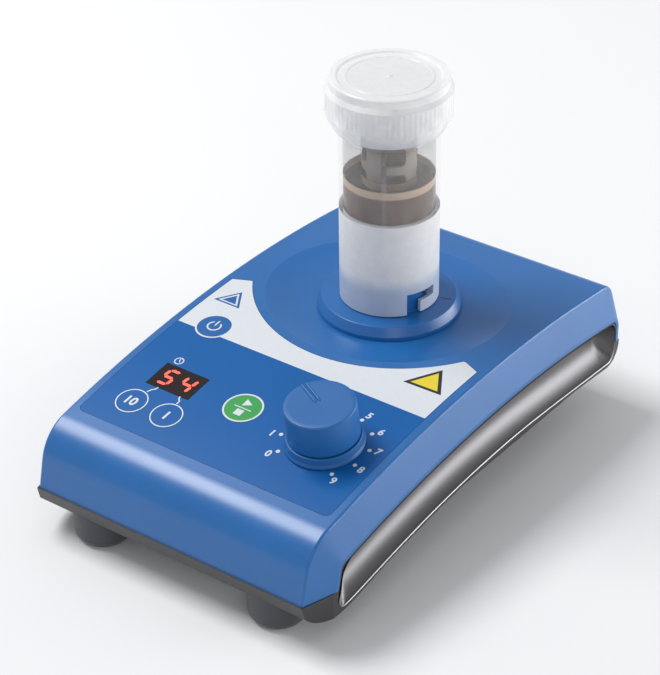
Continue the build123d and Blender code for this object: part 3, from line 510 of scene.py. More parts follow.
def film_finish():
    """Printed film: smooth, with the faint orange-peel of a coated sheet."""
    finish = Finish("panel_film")
    base = tuple(colours().film)
    peel = finish.noise(1.1, 2.0)
    finish.set(Base_Color=finish.mix(finish.noise(26.0, 2.0), shade(base, 0.94), shade(base, 1.06)),
               Roughness=0.34 + peel * 0.08, Specular_IOR_Level=0.25)
    return finish.bump(peel, 0.01, 0.35).material


def print_finish(name, base, roughness=0.35):
    """Screen-printed ink: even colour with a faint mottle and a soft edge of gloss."""
    finish = Finish(name)
    mottle = finish.noise(0.9, 3.0)
    finish.set(Base_Color=finish.mix(mottle, shade(base, 0.95), shade(base, 1.03)),
               Roughness=roughness + mottle * 0.08)
    return finish.bump(mottle, 0.004, 0.3).material


def base_finish():
    """Graphite lacquer of the lower housing: dark, glossy, with fine flow marks."""
    finish = Finish("graphite")
    base = tuple(colours().base)
    flow = finish.noise(5.0, 3.0, (1.0, 0.3, 1.0))
    fine = finish.noise(0.5, 3.0)
    finish.set(Base_Color=finish.mix(flow, shade(base, 0.85), shade(base, 1.15)), Metallic=0.2,
               Roughness=0.36 + flow * 0.05 + fine * 0.04, Coat_Weight=0.15, Coat_Roughness=0.2)
    return finish.bump(fine, 0.004, 0.4).material


def recess_finish():
    """The same lacquer in the side recesses: polished low down, dull close under the blue lip, its colour
    painted about three times lighter low down as painted light and darker close under the lip as painted
    shade.
    """
    finish = Finish("graphite_recess")
    base = tuple(colours().base)
    flow = finish.noise(7.0, 2.0, (1.0, 0.25, 1.0))
    fine = finish.noise(0.45, 3.0)
    # Painted shade mask: 0 close under the blue lip, where the colour is painted darker as shade, 1 lower
    # down; it also makes the lacquer smoother and metallic low down.
    out_of_painted_shade = finish.under_crown().limited((RECESS_EDGE + 1.0) * MM, (RECESS_EDGE + 6.0) * MM)
    # Painted light: the lacquer's colour made about three times lighter low down in the recess.
    painted_lit_lacquer = finish.mix(flow, shade(base, 2.9), shade(base, 3.3))
    finish.set(Base_Color=finish.mix(out_of_painted_shade, shade(base, 1.3), painted_lit_lacquer),
               Metallic=out_of_painted_shade * 0.75, Roughness=0.60 - out_of_painted_shade * 0.32 + flow * 0.04 + fine * 0.05,
               Specular_IOR_Level=0.35)
    return finish.bump(fine, 0.004, 0.35).material


def rubber_finish():
    finish = moulded("foot_rubber", tuple(colours().rubber), 0.62, 0.5, 0.03, 0.15, 0.12)
    return finish.set(Sheen_Weight=0.15, Sheen_Roughness=0.5).material


def glass_finish():
    """Dark filter window of the display."""
    finish = Finish("display_filter")
    smear = finish.noise(2.5, 3.0)
    finish.set(Base_Color=finish.mix(smear, (0.010, 0.004, 0.004), (0.020, 0.007, 0.006)),
               Roughness=0.10 + smear * 0.06)
    return finish.bump(smear, 0.002, 0.2).material


def glow_finish():
    """Lit segments of the display, their glow varied by a fine grain."""
    finish = Finish("display_digits")
    base = tuple(colours().digits)
    grain = finish.noise(0.5, 2.0)
    lit = finish.mix(grain, shade(base, 0.75), (1.0, 0.16, 0.10))
    finish.set(Base_Color=lit, Emission_Color=lit, Emission_Strength=1.1, Roughness=0.4)
    return finish.material


def frosted(name, base, low, high, z0, z1, roughness, cloudy=0.10, depth=0.012):
    """Frosted clear plastic: opacity goes from `low` under height z0 to `high` over z1."""
    finish = Finish(name)
    cloud = finish.noise(3.0, 3.0)
    fine = finish.noise(0.5, 3.0)
    rise = finish.height().limited(z0 * MM, z1 * MM)
    opacity = (rise * (high - low) + low) + (cloud - 0.5) * cloudy
    finish.set(Base_Color=finish.mix(cloud, shade(base, 0.94), shade(base, 1.04)),
               Roughness=roughness + fine * 0.1, Alpha=opacity, IOR=1.5)
    return finish.bump(fine, depth, 0.4)


def tube_finish():
    """Tube wall: frosted round the drive coupling, bluish low down, clear along the chamber."""
    finish = Finish("tube_plastic")
    base = tuple(colours().plastic)
    cloud = finish.noise(3.0, 3.0)
    fine = finish.noise(0.5, 3.0)
    clear = finish.height().limited((FLOOR_Z + 1.0) * MM, (FLOOR_Z + 1.6) * MM)
    upper = finish.height().limited((FLOOR_Z - 20.5) * MM, (FLOOR_Z - 16.5) * MM)
    frost = finish.mix(cloud, shade(base, 0.96), shade(base, 1.04))
    tinted = finish.mix(upper, finish.mix(cloud, (0.50, 0.58, 0.72), (0.56, 0.63, 0.76)), frost)
    finish.set(Base_Color=tinted, Roughness=0.42 - clear * 0.28 + fine * 0.08, IOR=1.5,
               Alpha=0.86 - clear * 0.76 + (cloud - 0.5) * 0.08)
    return finish.bump(fine, 0.012, 0.4).material


def cap_finish():
    finish = frosted("cap_plastic", (0.97, 0.98, 0.99), 0.42, 0.62, 99.0, 115.0, 0.14, 0.06)
    return finish.material


def liner_finish():
    return frosted("liner_foam", (0.92, 0.93, 0.93), 0.8, 0.8, 99.0, 113.0, 0.5, 0.1, 0.03).material


def liquid_finish():
    """Cloudy sample: dense and dark at the bottom, with a pale settled band, thinner above."""
    finish = Finish("sample")
    base = tuple(colours().liquid)
    height = finish.height()
    cloud = finish.noise(4.0, 3.0, (1.0, 1.0, 0.5))
    band = height.limited((FLOOR_Z + 9.2) * MM, (FLOOR_Z + 9.8) * MM)
    past = height.limited((FLOOR_Z + 11.6) * MM, (FLOOR_Z + 12.2) * MM)
    ring_mask = band * (1 - past)
    dense = finish.mix(cloud, shade(base, 0.75), shade(base, 1.2))
    tinted = finish.mix(ring_mask * 0.8, dense, (0.66, 0.50, 0.34))
    finish.set(Base_Color=tinted, Roughness=0.12 + cloud * 0.08,
               Alpha=0.95 - past * 0.80 + (cloud - 0.5) * 0.10, IOR=1.33)
    return finish.bump(cloud, 0.05, 0.3).material


def metal(name, base, roughness, size=0.3, stretch=(1.0, 1.0, 1.0), depth=0.003):
    """Machined or drawn metal: fine marks along one direction and a cloudy polish."""
    finish = Finish(name)
    marks = finish.noise(size, 3.0, stretch)
    cloud = finish.noise(6.0, 2.0)
    finish.set(Base_Color=finish.mix(cloud, shade(base, 0.88), shade(base, 1.06)), Metallic=1.0,
               Roughness=roughness + marks * 0.12 + cloud * 0.05)
    return finish.bump(marks, depth, 0.4).material


def board_finish():
    """Circuit board: green mask over a faint pattern of tracks."""
    finish = Finish("board_green")
    cells = finish.add("ShaderNodeTexVoronoi", {"feature": "DISTANCE_TO_EDGE"},
                       {"Vector": finish.place(), "Scale": 1 / (2.4 * MM)})
    tracks = cells.limited(0.03, 0.09)
    cloud = finish.noise(9.0, 2.0)
    base = finish.mix(cloud, (0.012, 0.10, 0.035), (0.02, 0.14, 0.05))
    finish.set(Base_Color=finish.mix(tracks, (0.03, 0.22, 0.08), base), Roughness=0.32 + cloud * 0.1)
    return finish.bump(tracks, 0.03, 0.4).material


def stripes_finish(name, first, second, pitch, roughness, axis="X"):
    """Fine parallel stripes, for windings, laminations and flat cable."""
    finish = Finish(name)
    along = finish.add("ShaderNodeSeparateXYZ", sockets={0: finish.place()}, output=axis)
    wave = (along * (2 * pi / (pitch * MM))).math("SINE") * 0.5 + 0.5
    mottle = finish.noise(1.5, 2.0)
    finish.set(Base_Color=finish.mix(wave, first, second), Roughness=roughness + mottle * 0.15)
    return finish.bump(wave, pitch * 0.2, 0.5)


PLASTICS = {                   # slot: colour, roughness, grain and depth of the grain in mm
    "mixer_plastic": ((0.62, 0.56, 0.50), 0.35, 0.4, 0.01),
    "seal_rubber": ((0.02, 0.02, 0.022), 0.5, 0.4, 0.01),
    "chip_black": ((0.015, 0.015, 0.017), 0.42, 0.3, 0.01),
    "jack_black": ((0.018, 0.018, 0.02), 0.38, 0.4, 0.012),
    "wire_red": ((0.40, 0.025, 0.02), 0.36, 0.6, 0.01),
}
METALS = {                     # slot: colour, roughness, size of the marks in mm, their stretch
    "steel": ((0.62, 0.62, 0.63), 0.2, 0.25, (1.0, 1.0, 6.0)),
    "plated_steel": ((0.55, 0.56, 0.58), 0.3, 0.8),
    "bearing_steel": ((0.58, 0.58, 0.60), 0.16, 0.3, (1.0, 1.0, 8.0)),
    "magnet": ((0.16, 0.16, 0.17), 0.38, 0.6),
}
STRIPES = {                    # slot: its two colours, pitch in mm, roughness, axis, metallic share
    "copper": ((0.50, 0.17, 0.06), (0.78, 0.33, 0.14), 0.5, 0.28, "Z", 0.9),
    "laminations": ((0.10, 0.10, 0.11), (0.24, 0.24, 0.25), 0.5, 0.4, "Z", 0.8),
    "wire_grey": ((0.20, 0.20, 0.21), (0.36, 0.36, 0.37), 1.27, 0.45, "X", 0.0),
}


def frame_finishes():
    """Finish of every material slot of the frame, made once."""
    finishes = {
        "housing_blue": housing_finish(), "film": film_finish(), "base_grey": base_finish(),
        "foot_rubber": rubber_finish(), "display_red": glass_finish(), "knob_blue": knob_finish(),
        "key_green": print_finish("start_green", tuple(colours().start)),
        "key_blue": print_finish("key_blue", shade(tuple(colours().film), 1.05)),
        "tube_plastic": tube_finish(), "cap_plastic": cap_finish(), "liner_foam": liner_finish(),
        "board_green": board_finish(),
    }
    for slot, settings in PLASTICS.items():
        finishes[slot] = moulded(slot, *settings).material
    for slot, settings in METALS.items():
        finishes[slot] = metal(slot, *settings)
    for slot, (*settings, metallic) in STRIPES.items():
        finishes[slot] = stripes_finish(slot, *settings).set(Metallic=metallic).material
    return finishes


def finish_of(slot):
    """The finish of a material slot."""
    if not FINISHES:
        FINISHES.update(frame_finishes())
    return FINISHES[slot]


FINISHES = {}
EXTRA = {}


def extra(name, maker):
    """A finish that isn't a slot of the frame's own pieces, made once."""
    if name not in EXTRA:
        EXTRA[name] = maker()
    return EXTRA[name]


def white_ink():
    return extra("white_ink", lambda: print_finish("white_ink", tuple(colours().white)))


def dark_ink():
    return extra("dark_ink", lambda: print_finish("dark_ink", (0.012, 0.014, 0.022)))


# ---- operators
class DRIVE_OT_frame(bpy.types.Operator):
    """Give every piece of the frame the finish of its material slot"""
    bl_idname = "drive.frame"
    bl_label = "Frame finishes"

    def execute(self, context):
        for part in FRAME["record"]["subparts"]:
            mesh = NODES[part["node"]].data
            mesh.materials.clear()
            mesh.materials.append(finish_of(part["material_slot"]))
            mesh.polygons.foreach_set("material_index", np.zeros(len(mesh.polygons), np.int32))
        return {"FINISHED"}


def spline(y_points, z_points, y):
    """Natural cubic spline through points, read at y.

    The second derivatives solve the usual three-term equations with zeros at both ends.
    """
    p, q = np.asarray(y_points, float), np.asarray(z_points, float)
    h = np.diff(p)
    system = np.eye(len(p))
    right = np.zeros(len(p))
    for k in range(1, len(p) - 1):
        system[k, k - 1:k + 2] = h[k - 1], 2 * (h[k - 1] + h[k]), h[k]
        right[k] = 6 * ((q[k + 1] - q[k]) / h[k] - (q[k] - q[k - 1]) / h[k - 1])
    bend = np.linalg.solve(system, right)
    k = np.clip(np.searchsorted(p, y) - 1, 0, len(h) - 1)
    a, b = p[k + 1] - y, y - p[k]
    return (bend[k] * a ** 3 + bend[k + 1] * b ** 3) / (6 * h[k]) \
        + (q[k] / h[k] - bend[k] * h[k] / 6) * a + (q[k + 1] / h[k] - bend[k + 1] * h[k] / 6) * b


def lower_line(y):
    """Height of the lower edge of the sides: skirt at the front, long arch, tail."""
    ys = [FRONT_Y + 1.05, FRONT_Y + 4.5, FRONT_Y + 11.5, FRONT_Y + 27.5, FRONT_Y + 55.5,
          REAR_Y - 55.5, REAR_Y - 19.5, REAR_Y]
    zs = [10.8, 8.0, 6.7, 9.0, 13.35, 16.0, 14.6, 13.7]
    return spline(ys, zs, y)




def recess_grid(columns=160, rows=40):
    """Side-view grid (y, z) over one recess mouth, with its corners rounded.

    Columns run from the leaning front edge to the rear edge, rows from the lower line
    to the inner arch. In each corner a square is pressed onto a quarter disc by scaling
    each coordinate with the root of one minus half the other's square.
    """
    u = (1 - np.cos(np.linspace(0, pi, columns))) / 2
    v = (1 - np.cos(np.linspace(0, pi, rows))) / 2
    u, v = np.meshgrid(u, v, indexing="ij")
    reach = NOSE_RADIUS - RECESS_EDGE
    knee = (NOSE_Y - reach * cos(NOSE_DRAFT), NOSE_Z + reach * sin(NOSE_DRAFT))
    front_low, front_high = 11.7, 23.0
    front = knee[0] - (knee[1] - (front_low + v * (front_high - front_low))) * sin(NOSE_DRAFT)
    rear = REAR_Y - RECESS_REAR
    y = front + u * (rear - front)
    low = lower_line(y) + 1.0
    high = CROWN_CENTRE_Z + np.sqrt((CROWN_RADIUS - RECESS_EDGE) ** 2 - (y - CROWN_Y) ** 2)
    z = low + v * (high - low)
    gaps = np.stack([y - front, rear - y, z - low, high - z])
    r = RECESS_CORNER
    for along, sign_y in ((gaps[0], -1), (gaps[1], 1)):
        for beside, sign_z in ((gaps[2], -1), (gaps[3], 1)):
            a = np.clip((r - along) / r, 0, 1)
            b = np.clip((r - beside) / r, 0, 1)
            corner = (a > 0) & (b > 0)
            y = np.where(corner, y + sign_y * r * (a * np.sqrt(1 - b ** 2 / 2) - a), y)
            z = np.where(corner, z + sign_z * r * (b * np.sqrt(1 - a ** 2 / 2) - b), z)
    return y, z, gaps


def recess_shapes(side):
    """One glossy side recess and the thin bead along its lower edge.

    With w the share of the height from the mouth's top, the trough is as deep as
    w to the power 0.45 times (1 - w) to the power 0.8, scaled to 1 at its deepest; toward the
    two ends it is multiplied by 2s - s squared, s being the share of the corner's length.
    """
    y, z, gaps = recess_grid()
    height = gaps[2] + gaps[3]
    w = gaps[3] / height
    deepest = TROUGH[0] / sum(TROUGH)
    trough = w ** TROUGH[0] * (1 - w) ** TROUGH[1]
    trough /= deepest ** TROUGH[0] * (1 - deepest) ** TROUGH[1]
    s = np.clip(np.minimum(gaps[0], gaps[1]) / RECESS_END, 0, 1)
    depth = sizes().trim_depth / MM * trough * (2 * s - s ** 2)
    outer_x = SIDE_X + 0.02
    front = np.stack([side * (outer_x - depth), y, z], -1)
    back = front - np.array([side * 0.25, 0, 0])
    border, border_back = [np.concatenate([face[0], face[1:, -1], face[-1, -2::-1], face[-2:0:-1, 0]])
                           for face in (front, back)]
    edge = np.stack([border, border_back])
    radius = sizes().trim_bead / MM
    rows = front.shape[1]
    end = np.arange(rows // 2, 0, -1)
    path = np.concatenate([front[0, end], front[:, 0], front[-1, end[::-1]]])
    thick = radius * np.clip(np.minimum(np.arange(len(path)), np.arange(len(path))[::-1]) / 12, 0.15, 1)
    path = path + np.array([side * 0.08, 0, 0]) - np.stack([side * thick, 0 * thick, 0 * thick], -1)
    return [grid(front), grid(back), grid(edge, close_v=True)], [swept(path, thick, 8)]


class DRIVE_OT_recesses(bpy.types.Operator):
    """Line the two side grooves with their smooth glossy recess and thin bead"""
    bl_idname = "drive.recesses"
    bl_label = "Side recesses"

    def execute(self, context):
        # The bead's pale metal stands in for the thin edge highlight along the recess's lower edge and ends:
        # a painted highlight on the dark graphite.
        painted_highlight_metal = extra("bead", lambda: metal("bead_painted_highlight", (0.42, 0.41, 0.41), 0.22, 0.4))
        for name, side in (("left", -1), ("right", 1)):
            liner, bead = recess_shapes(side)
            build(f"side_recess_{name}", liner, "base", "base_grey", extra("recess", recess_finish))
            build(f"side_bead_{name}", bead, "base", "base_grey", painted_highlight_metal)
        return {"FINISHED"}


class DRIVE_OT_feet(bpy.types.Operator):
    """Rubber feet with a tapered flank, a moulded groove and a soft lower edge"""
    bl_idname = "drive.feet"
    bl_label = "Feet"

    def execute(self, context):
        for name in ("foot_front_left", "foot_front_right", "foot_rear_left", "foot_rear_right"):
            low, high = node_box(name)
            centre = (low[:2] + high[:2]) / 2
            radius = float(high[0] - low[0]) / 2
            top = float(high[2])
            corners = [(0, 0.5), (radius * 0.55, 0.5), (radius * 0.62, 0), (radius - 1.6, 0),
                       (radius - 0.2, 1.9), (radius, 3.6), (radius, top), (0, top)]
            outline = softened(corners, [0, 0.3, 0.3, 1.4, 1.4, 1.0, 0.2, 0])
            build(f"rubber_{name}", [turned(outline, 64, centre)], "base", "foot_rubber",
                  replaces=[name])
        return {"FINISHED"}


# ---- panel
FILM_ARC = (TUBE_Y + 9.1, 46.0)     # centre y and radius of the film's rear edge
BORDER_Y = -17.1                    # front edge of the white field
PRINT_LOW = -0.05                   # prints start just inside the film
DOT_RING, NUMERAL_RING = 13.0, 15.6  # radii of the dial's dots and numerals
DIAL_START, DIAL_STEP = 225, 30      # direction of the 0, and from one numeral to the next
INK_LAYER = 0.015                   # each ink printed over another is this much higher


def film_rear(x):
    """Rear edge of the film: the arc round the dish, then straight to the sides."""
    x = np.abs(np.asarray(x, float))
    horn_x, horn_y = FILM_X - 5.8, TUBE_Y - 16.6
    side_y = TUBE_Y - 19.1
    arc = FILM_ARC[0] - np.sqrt(np.maximum(FILM_ARC[1] ** 2 - x ** 2, 0))
    straight = horn_y + (x - horn_x) / (FILM_X - horn_x) * (side_y - horn_y)
    return np.where(x < horn_x, np.minimum(arc, horn_y), straight)


def white_field():
    """White field between the border line and the film's rear edge, open round the power key."""
    _, key_x, key_y, key_radius = KEYS["button_power"]
    hole, halo = key_radius + KEY_GAP, key_radius + 0.85
    edge = FILM_X - 0.12

    def front(x):
        bulge = key_y - np.sqrt(np.maximum(halo ** 2 - (x - key_x) ** 2, 0))
        return np.where(np.abs(x - key_x) < halo, np.minimum(BORDER_Y, bulge), BORDER_Y)

    def field(x, start, end):
        return strip(np.stack([x, start], -1), np.stack([x, end], -1), PRINT_LOW, height, 12)

    height = sizes().print_height / MM
    left = np.linspace(-edge, key_x - hole, 14)
    right = np.concatenate([np.linspace(key_x + hole, 0, 60), np.linspace(0, edge, 60)[1:]])
    middle = key_x + hole * np.sin(np.linspace(-pi / 2, pi / 2, 41))
    arc = np.sqrt(np.maximum(hole ** 2 - (middle - key_x) ** 2, 0))
    rear = film_rear(middle) - 0.12
    return [field(left, front(left), film_rear(left) - 0.12),
            field(right, front(right), film_rear(right) - 0.12),
            field(middle, front(middle), key_y - arc), field(middle, key_y + arc, rear)]


def dial_marks():
    """Ten dots round the knob and their numerals, a step of angle apart."""
    height = sizes().print_height / MM
    shapes = []
    for n in range(10):
        angle = radians(DIAL_START - DIAL_STEP * n)
        dot, numeral = [np.array(KNOB_AT) + radius * np.array([cos(angle), sin(angle)])
                        for radius in (DOT_RING, NUMERAL_RING)]
        shapes.append(disc(*dot, 0.62, PRINT_LOW, height, 20))
        shapes.append(lettering(str(n), 3.3, *numeral, PRINT_LOW, height))
    return shapes


def leader_lines():
    """Thin lines from the two front keys to the display, and a small clock over it."""
    height = sizes().print_height / MM
    front_y = KEYS["button_tens"][2]
    shapes = [line([(-30.9, front_y + 5.0), (-30.3, front_y + 6.3), (-29.5, front_y + 7.0),
                    (-29.2, front_y + 8.0)], 0.42, PRINT_LOW, height),
              line([(-20.1, front_y + 5.1), (-20.1, front_y + 6.4), (-20.9, front_y + 7.1),
                    (-21.2, front_y + 8.0)], 0.42, PRINT_LOW, height)]
    x, y = -31.4, -31.9
    shapes += [ring(x, y, 1.15, 1.5, PRINT_LOW, height, 32),
               line([(x, y + 0.9), (x, y)], 0.28, PRINT_LOW, height),
               line([(x, y), (x + 0.65, y - 0.35)], 0.28, PRINT_LOW, height)]
    return shapes


class DRIVE_OT_print(bpy.types.Operator):
    """Print the control panel: white field, dial numerals, leader lines and plain marks"""
    bl_idname = "drive.panel_print"
    bl_label = "Panel print"

    def execute(self, context):
        yellow = extra("yellow_ink", lambda: print_finish("yellow_ink", (0.80, 0.62, 0.03)))
        for name, shapes in (("white_field", white_field()), ("dial", dial_marks()),
                             ("leaders", leader_lines())):
            build(f"print_{name}", laid(shapes), "base", "film", white_ink())
        marks = (("left", 1, [(-41.9, -3.1), (-32.4, -3.1), (-36.9, 4.2)], finish_of("key_blue")),
                 ("left_line", 2, [(-40.7, -2.5), (-33.6, -2.5), (-37.0, 3.0)], white_ink()),
                 ("left_core", 3, [(-39.6, -2.0), (-34.6, -2.0), (-37.0, 1.9)], finish_of("key_blue")),
                 ("right", 1, [(29.2, -6.6), (41.8, -6.3), (35.5, 3.8)], dark_ink()),
                 ("right_field", 2, [(31.0, -5.6), (40.0, -5.4), (35.5, 1.9)], yellow))
        for name, layer, corners, ink in marks:
            high = sizes().print_height / MM + INK_LAYER * layer
            build(f"print_mark_{name}", laid([triangle(corners, PRINT_LOW, high)]), "base", "film", ink)
        return {"FINISHED"}


def key_icons(name, x, y, radius, low, high):
    """White print of a key's top: numerals, or plain start, stop and power symbols."""
    numerals = {"button_tens": "10", "button_ones": "1"}
    if name in numerals:
        return [ring(x, y, radius - 0.36, radius, low, high), lettering(numerals[name], 4.3, x, y, low, high)]
    if name == "button_start_stop":
        play = [(x - 1.0, y + 0.6), (x - 1.0, y + 3.6), (x + 1.7, y + 2.1)]
        stop = [(x - 1.2, y - 3.3), (x + 1.2, y - 3.3), (x + 1.2, y - 0.9), (x - 1.2, y - 0.9)]
        bar = line([(x - 2.9, y - 0.15), (x + 2.9, y - 0.15)], 0.32, low, high)
        return [ring(x, y, radius - 0.55, radius, low, high), polygon(play, low, high),
                polygon(stop, low, high), bar]
    arc = ring(x, y, 1.75, 2.25, low, high, 48, radians(125), radians(290))
    return [arc, line([(x, y + 0.3), (x, y + 2.7)], 0.5, low, high)]


class DRIVE_OT_keys(bpy.types.Operator):
    """Four membrane keys with soft edges and their printed symbols"""
    bl_idname = "drive.keys"
    bl_label = "Keys"

    def execute(self, context):
        finishes = {"button_start_stop": "key_green", "button_power": "key_blue"}
        for name, (body, x, y, radius) in KEYS.items():
            wide = radius + KEY_GAP - 0.04
            slot = finishes.get(name, "film")
            corners = [(0, -2.4), (wide, -2.4), (wide, 0.05), (0, 0.10)]
            outline = softened(corners, [0, 0.1, 0.16, 0])
            turn, origin = panel_matrix(x, y)
            cap = placed(turned(outline, 72, (0.0, 0.0)), turn, origin)
            build(f"cap_{name}", [cap], body, slot, replaces=[name])
            high = 0.10 + sizes().print_height / MM
            icons = [placed(shape, turn, origin)
                     for shape in key_icons(name, 0.0, 0.0, wide - 0.03, 0.02, high)]
            build(f"print_{name}", icons, body, slot, white_ink())
        return {"FINISHED"}


SEGMENTS = {                   # lit bars of a seven-segment digit: corners as (column, row)
    "a": ((0, 2), (1, 2)), "b": ((1, 2), (1, 1)), "c": ((1, 1), (1, 0)), "d": ((0, 0), (1, 0)),
    "e": ((0, 1), (0, 0)), "f": ((0, 2), (0, 1)), "g": ((0, 1), (1, 1)),
}
LIT = {"5": "afgcd", "4": "fgbc"}


def digit(figure, x, y, width, height, low, high):
    """Lit bars of one slanted seven-segment figure: pointed bars between cell corners."""
    shapes = []
    for name in LIT[figure]:
        ends = np.array(SEGMENTS[name], float) * [width, height / 2]
        run = ends[1] - ends[0]
        size = np.linalg.norm(run)
        run /= size
        side = np.array([-run[1], run[0]])
        thick, gap = 0.48, 0.16
        a, b = ends[0] + run * gap, ends[1] - run * gap
        corners = np.array([a, a + run * thick + side * thick, b - run * thick + side * thick, b,
                            b - run * thick - side * thick, a + run * thick - side * thick])
        corners[:, 0] += corners[:, 1] * 0.14
        shapes.append(polygon(corners + [x, y], low, high))
    return shapes


class DRIVE_OT_display(bpy.types.Operator):
    """Two lit seven-segment digits in the display window"""
    bl_idname = "drive.display"
    bl_label = "Display"

    def execute(self, context):
        centre_x = float(DISPLAY_LOW[0] + DISPLAY_HIGH[0]) / 2
        centre_y = FRONT_Y + 38.45
        turn, origin = panel_matrix(centre_x, centre_y)
        shapes = [placed(shape, turn, origin)
                  for figure, x in (("5", -5.4), ("4", 1.3))
                  for shape in digit(figure, x, -2.9, 3.4, 5.8, 0.01, 0.05)]
        build("display_digits", shapes, "base", "display_red", extra("glow", glow_finish), smooth=False)
        return {"FINISHED"}


# ---- knob
class DRIVE_OT_knob(bpy.types.Operator):
    """Speed knob with its double pointer rib, and the flared collar under it"""
    bl_idname = "drive.knob"
    bl_label = "Speed knob"

    def execute(self, context):
        turn, origin = panel_matrix(*KNOB_AT)
        top, low, radius = 14.0, 3.5, 10.2
        corners = [(0, 5.6), (radius - 1.6, 5.6), (radius - 1.5, low), (radius, low),
                   (radius - 0.15, top - 0.1), (radius - 1.4, top), (0, top - 0.12)]
        outline = softened(corners, [0, 0.4, 0.25, 0.25, 0.55, 0.6, 0])
        shapes = [placed(turned(outline, 128, (0.0, 0.0)), turn, origin)]
        pointer = radians(153.0)
        way = np.array([cos(pointer), sin(pointer), 0.0])
        side = np.array([-sin(pointer), cos(pointer), 0.0])
        rib_side, rib_radius, rib_start, rib_length, rib_sink = 0.62, 0.46, 1.2, 8.85, 0.42
        reach = np.linspace(0, 1, 26)[:, None]
        rise = np.sin(np.clip(reach * 6, 0, 1) * pi / 2)
        drop = np.clip((reach - 0.93) / 0.07, 0, 1) ** 2
        for offset in (-rib_side, rib_side):
            path = way * (rib_start + rib_length * reach) + side * offset
            path = path + np.array(UP) * (top - rib_sink + rib_sink * rise - 1.6 * drop)
            shapes.append(placed(swept(path, rib_radius, 12, UP), turn, origin))
        build("knob_shell", shapes, "knob", "knob_blue", replaces=["speed_knob"])
        collar = [(8.3, 0.03), (11.4, 0.03), (11.4, 0.55), (11.0, 1.3), (10.65, 3.15), (8.3, 3.15)]
        outline = softened(collar, [0.1, 0.12, 0.25, 0.8, 0.3, 0.1])
        build("collar_shell", [placed(turned(outline, 128, (0.0, 0.0)), turn, origin)], "base", "knob_blue",
              replaces=["knob_collar"])
        return {"FINISHED"}


# ---- seat
class DRIVE_OT_seat(bpy.types.Operator):
    """Bayonet seat: flange with a soft edge, hub and pocket, and a locating score line"""
    bl_idname = "drive.seat"
    bl_label = "Bayonet seat"

    def execute(self, context):
        base, top = 40.5, 44.5
        low, hub_top = float(SEAT_LOW[2]), float(SEAT_HIGH[2])
        flange = float(SEAT_HIGH[0])
        hub = TUBE_RADIUS - 1.75
        corners = [(5.5, low), (flange - 5.6, low), (flange - 5.6, base), (flange, base),
                   (flange, base + 1.2), (flange - 1.5, top), (hub, top), (hub, hub_top), (7.5, hub_top),
                   (7.5, hub_top - 5.7), (5.5, hub_top - 5.7)]
        outline = softened(corners, [0, 0.2, 0.05, 0.1, 0.8, 0.35, 0.15, 0.5, 0.4, 0.1, 0.2])
        build("seat_shell", [turned(outline, 160)], "base", "housing_blue", replaces=["bayonet_seat"])
        score_at, score_width = radians(23.0), 0.34
        way = np.array([cos(score_at), sin(score_at)])
        points = [np.array([0, TUBE_Y]) + way * r for r in (15.4, 17.2, 18.9)]
        score = line(points, score_width, top - 0.1, top + 0.02)
        build("seat_score", [score], "base", "housing_blue", dark_ink())
        return {"FINISHED"}


# ---- tube, cap and sample
def helix(radius, start_z, turns, pitch, steps):
    """Points of a screw line about the tube axis, its ends running into the wall."""
    t = np.linspace(0, 1, steps)
    angle = 2 * pi * turns * t
    fade = np.clip(np.minimum(t, 1 - t) * 14, 0, 1)
    r = radius - 0.45 * (1 - fade)
    return np.stack([r * np.cos(angle), TUBE_Y + r * np.sin(angle), start_z + pitch * turns * t], -1)


class DRIVE_OT_tube(bpy.types.Operator):
    """Raised ribs and thread of the mixing tube"""
    bl_idname = "drive.tube"
    bl_label = "Mixing tube"

    def execute(self, context):
        neck, thread_low, turns, ridge_radius = TUBE_RADIUS - 1.05, 102.2, 2.6, 0.5
        pitch = sizes().thread_pitch / MM
        ridge = swept(helix(neck, thread_low, turns, pitch, 260), ridge_radius, 8, UP)
        build("tube_thread", [ridge], "tube", "tube_plastic", finish_of("cap_plastic"))
        ribs = []
        rib_at, rib_radius, axis_radius = -61.0, 0.75, TUBE_RADIUS - 1.5
        heights = np.linspace(70.5, 98.6, 24)
        for k in range(2):
            angle = radians(rib_at + 180 * k)
            x, y = axis_radius * cos(angle), TUBE_Y + axis_radius * sin(angle)
            path = np.stack([np.full_like(heights, x), np.full_like(heights, y), heights], -1)
            ribs.append(swept(path, rib_radius, 12, (cos(angle), sin(angle), 0.0)))
        build("tube_ribs", ribs, "tube", "tube_plastic")
        return {"FINISHED"}


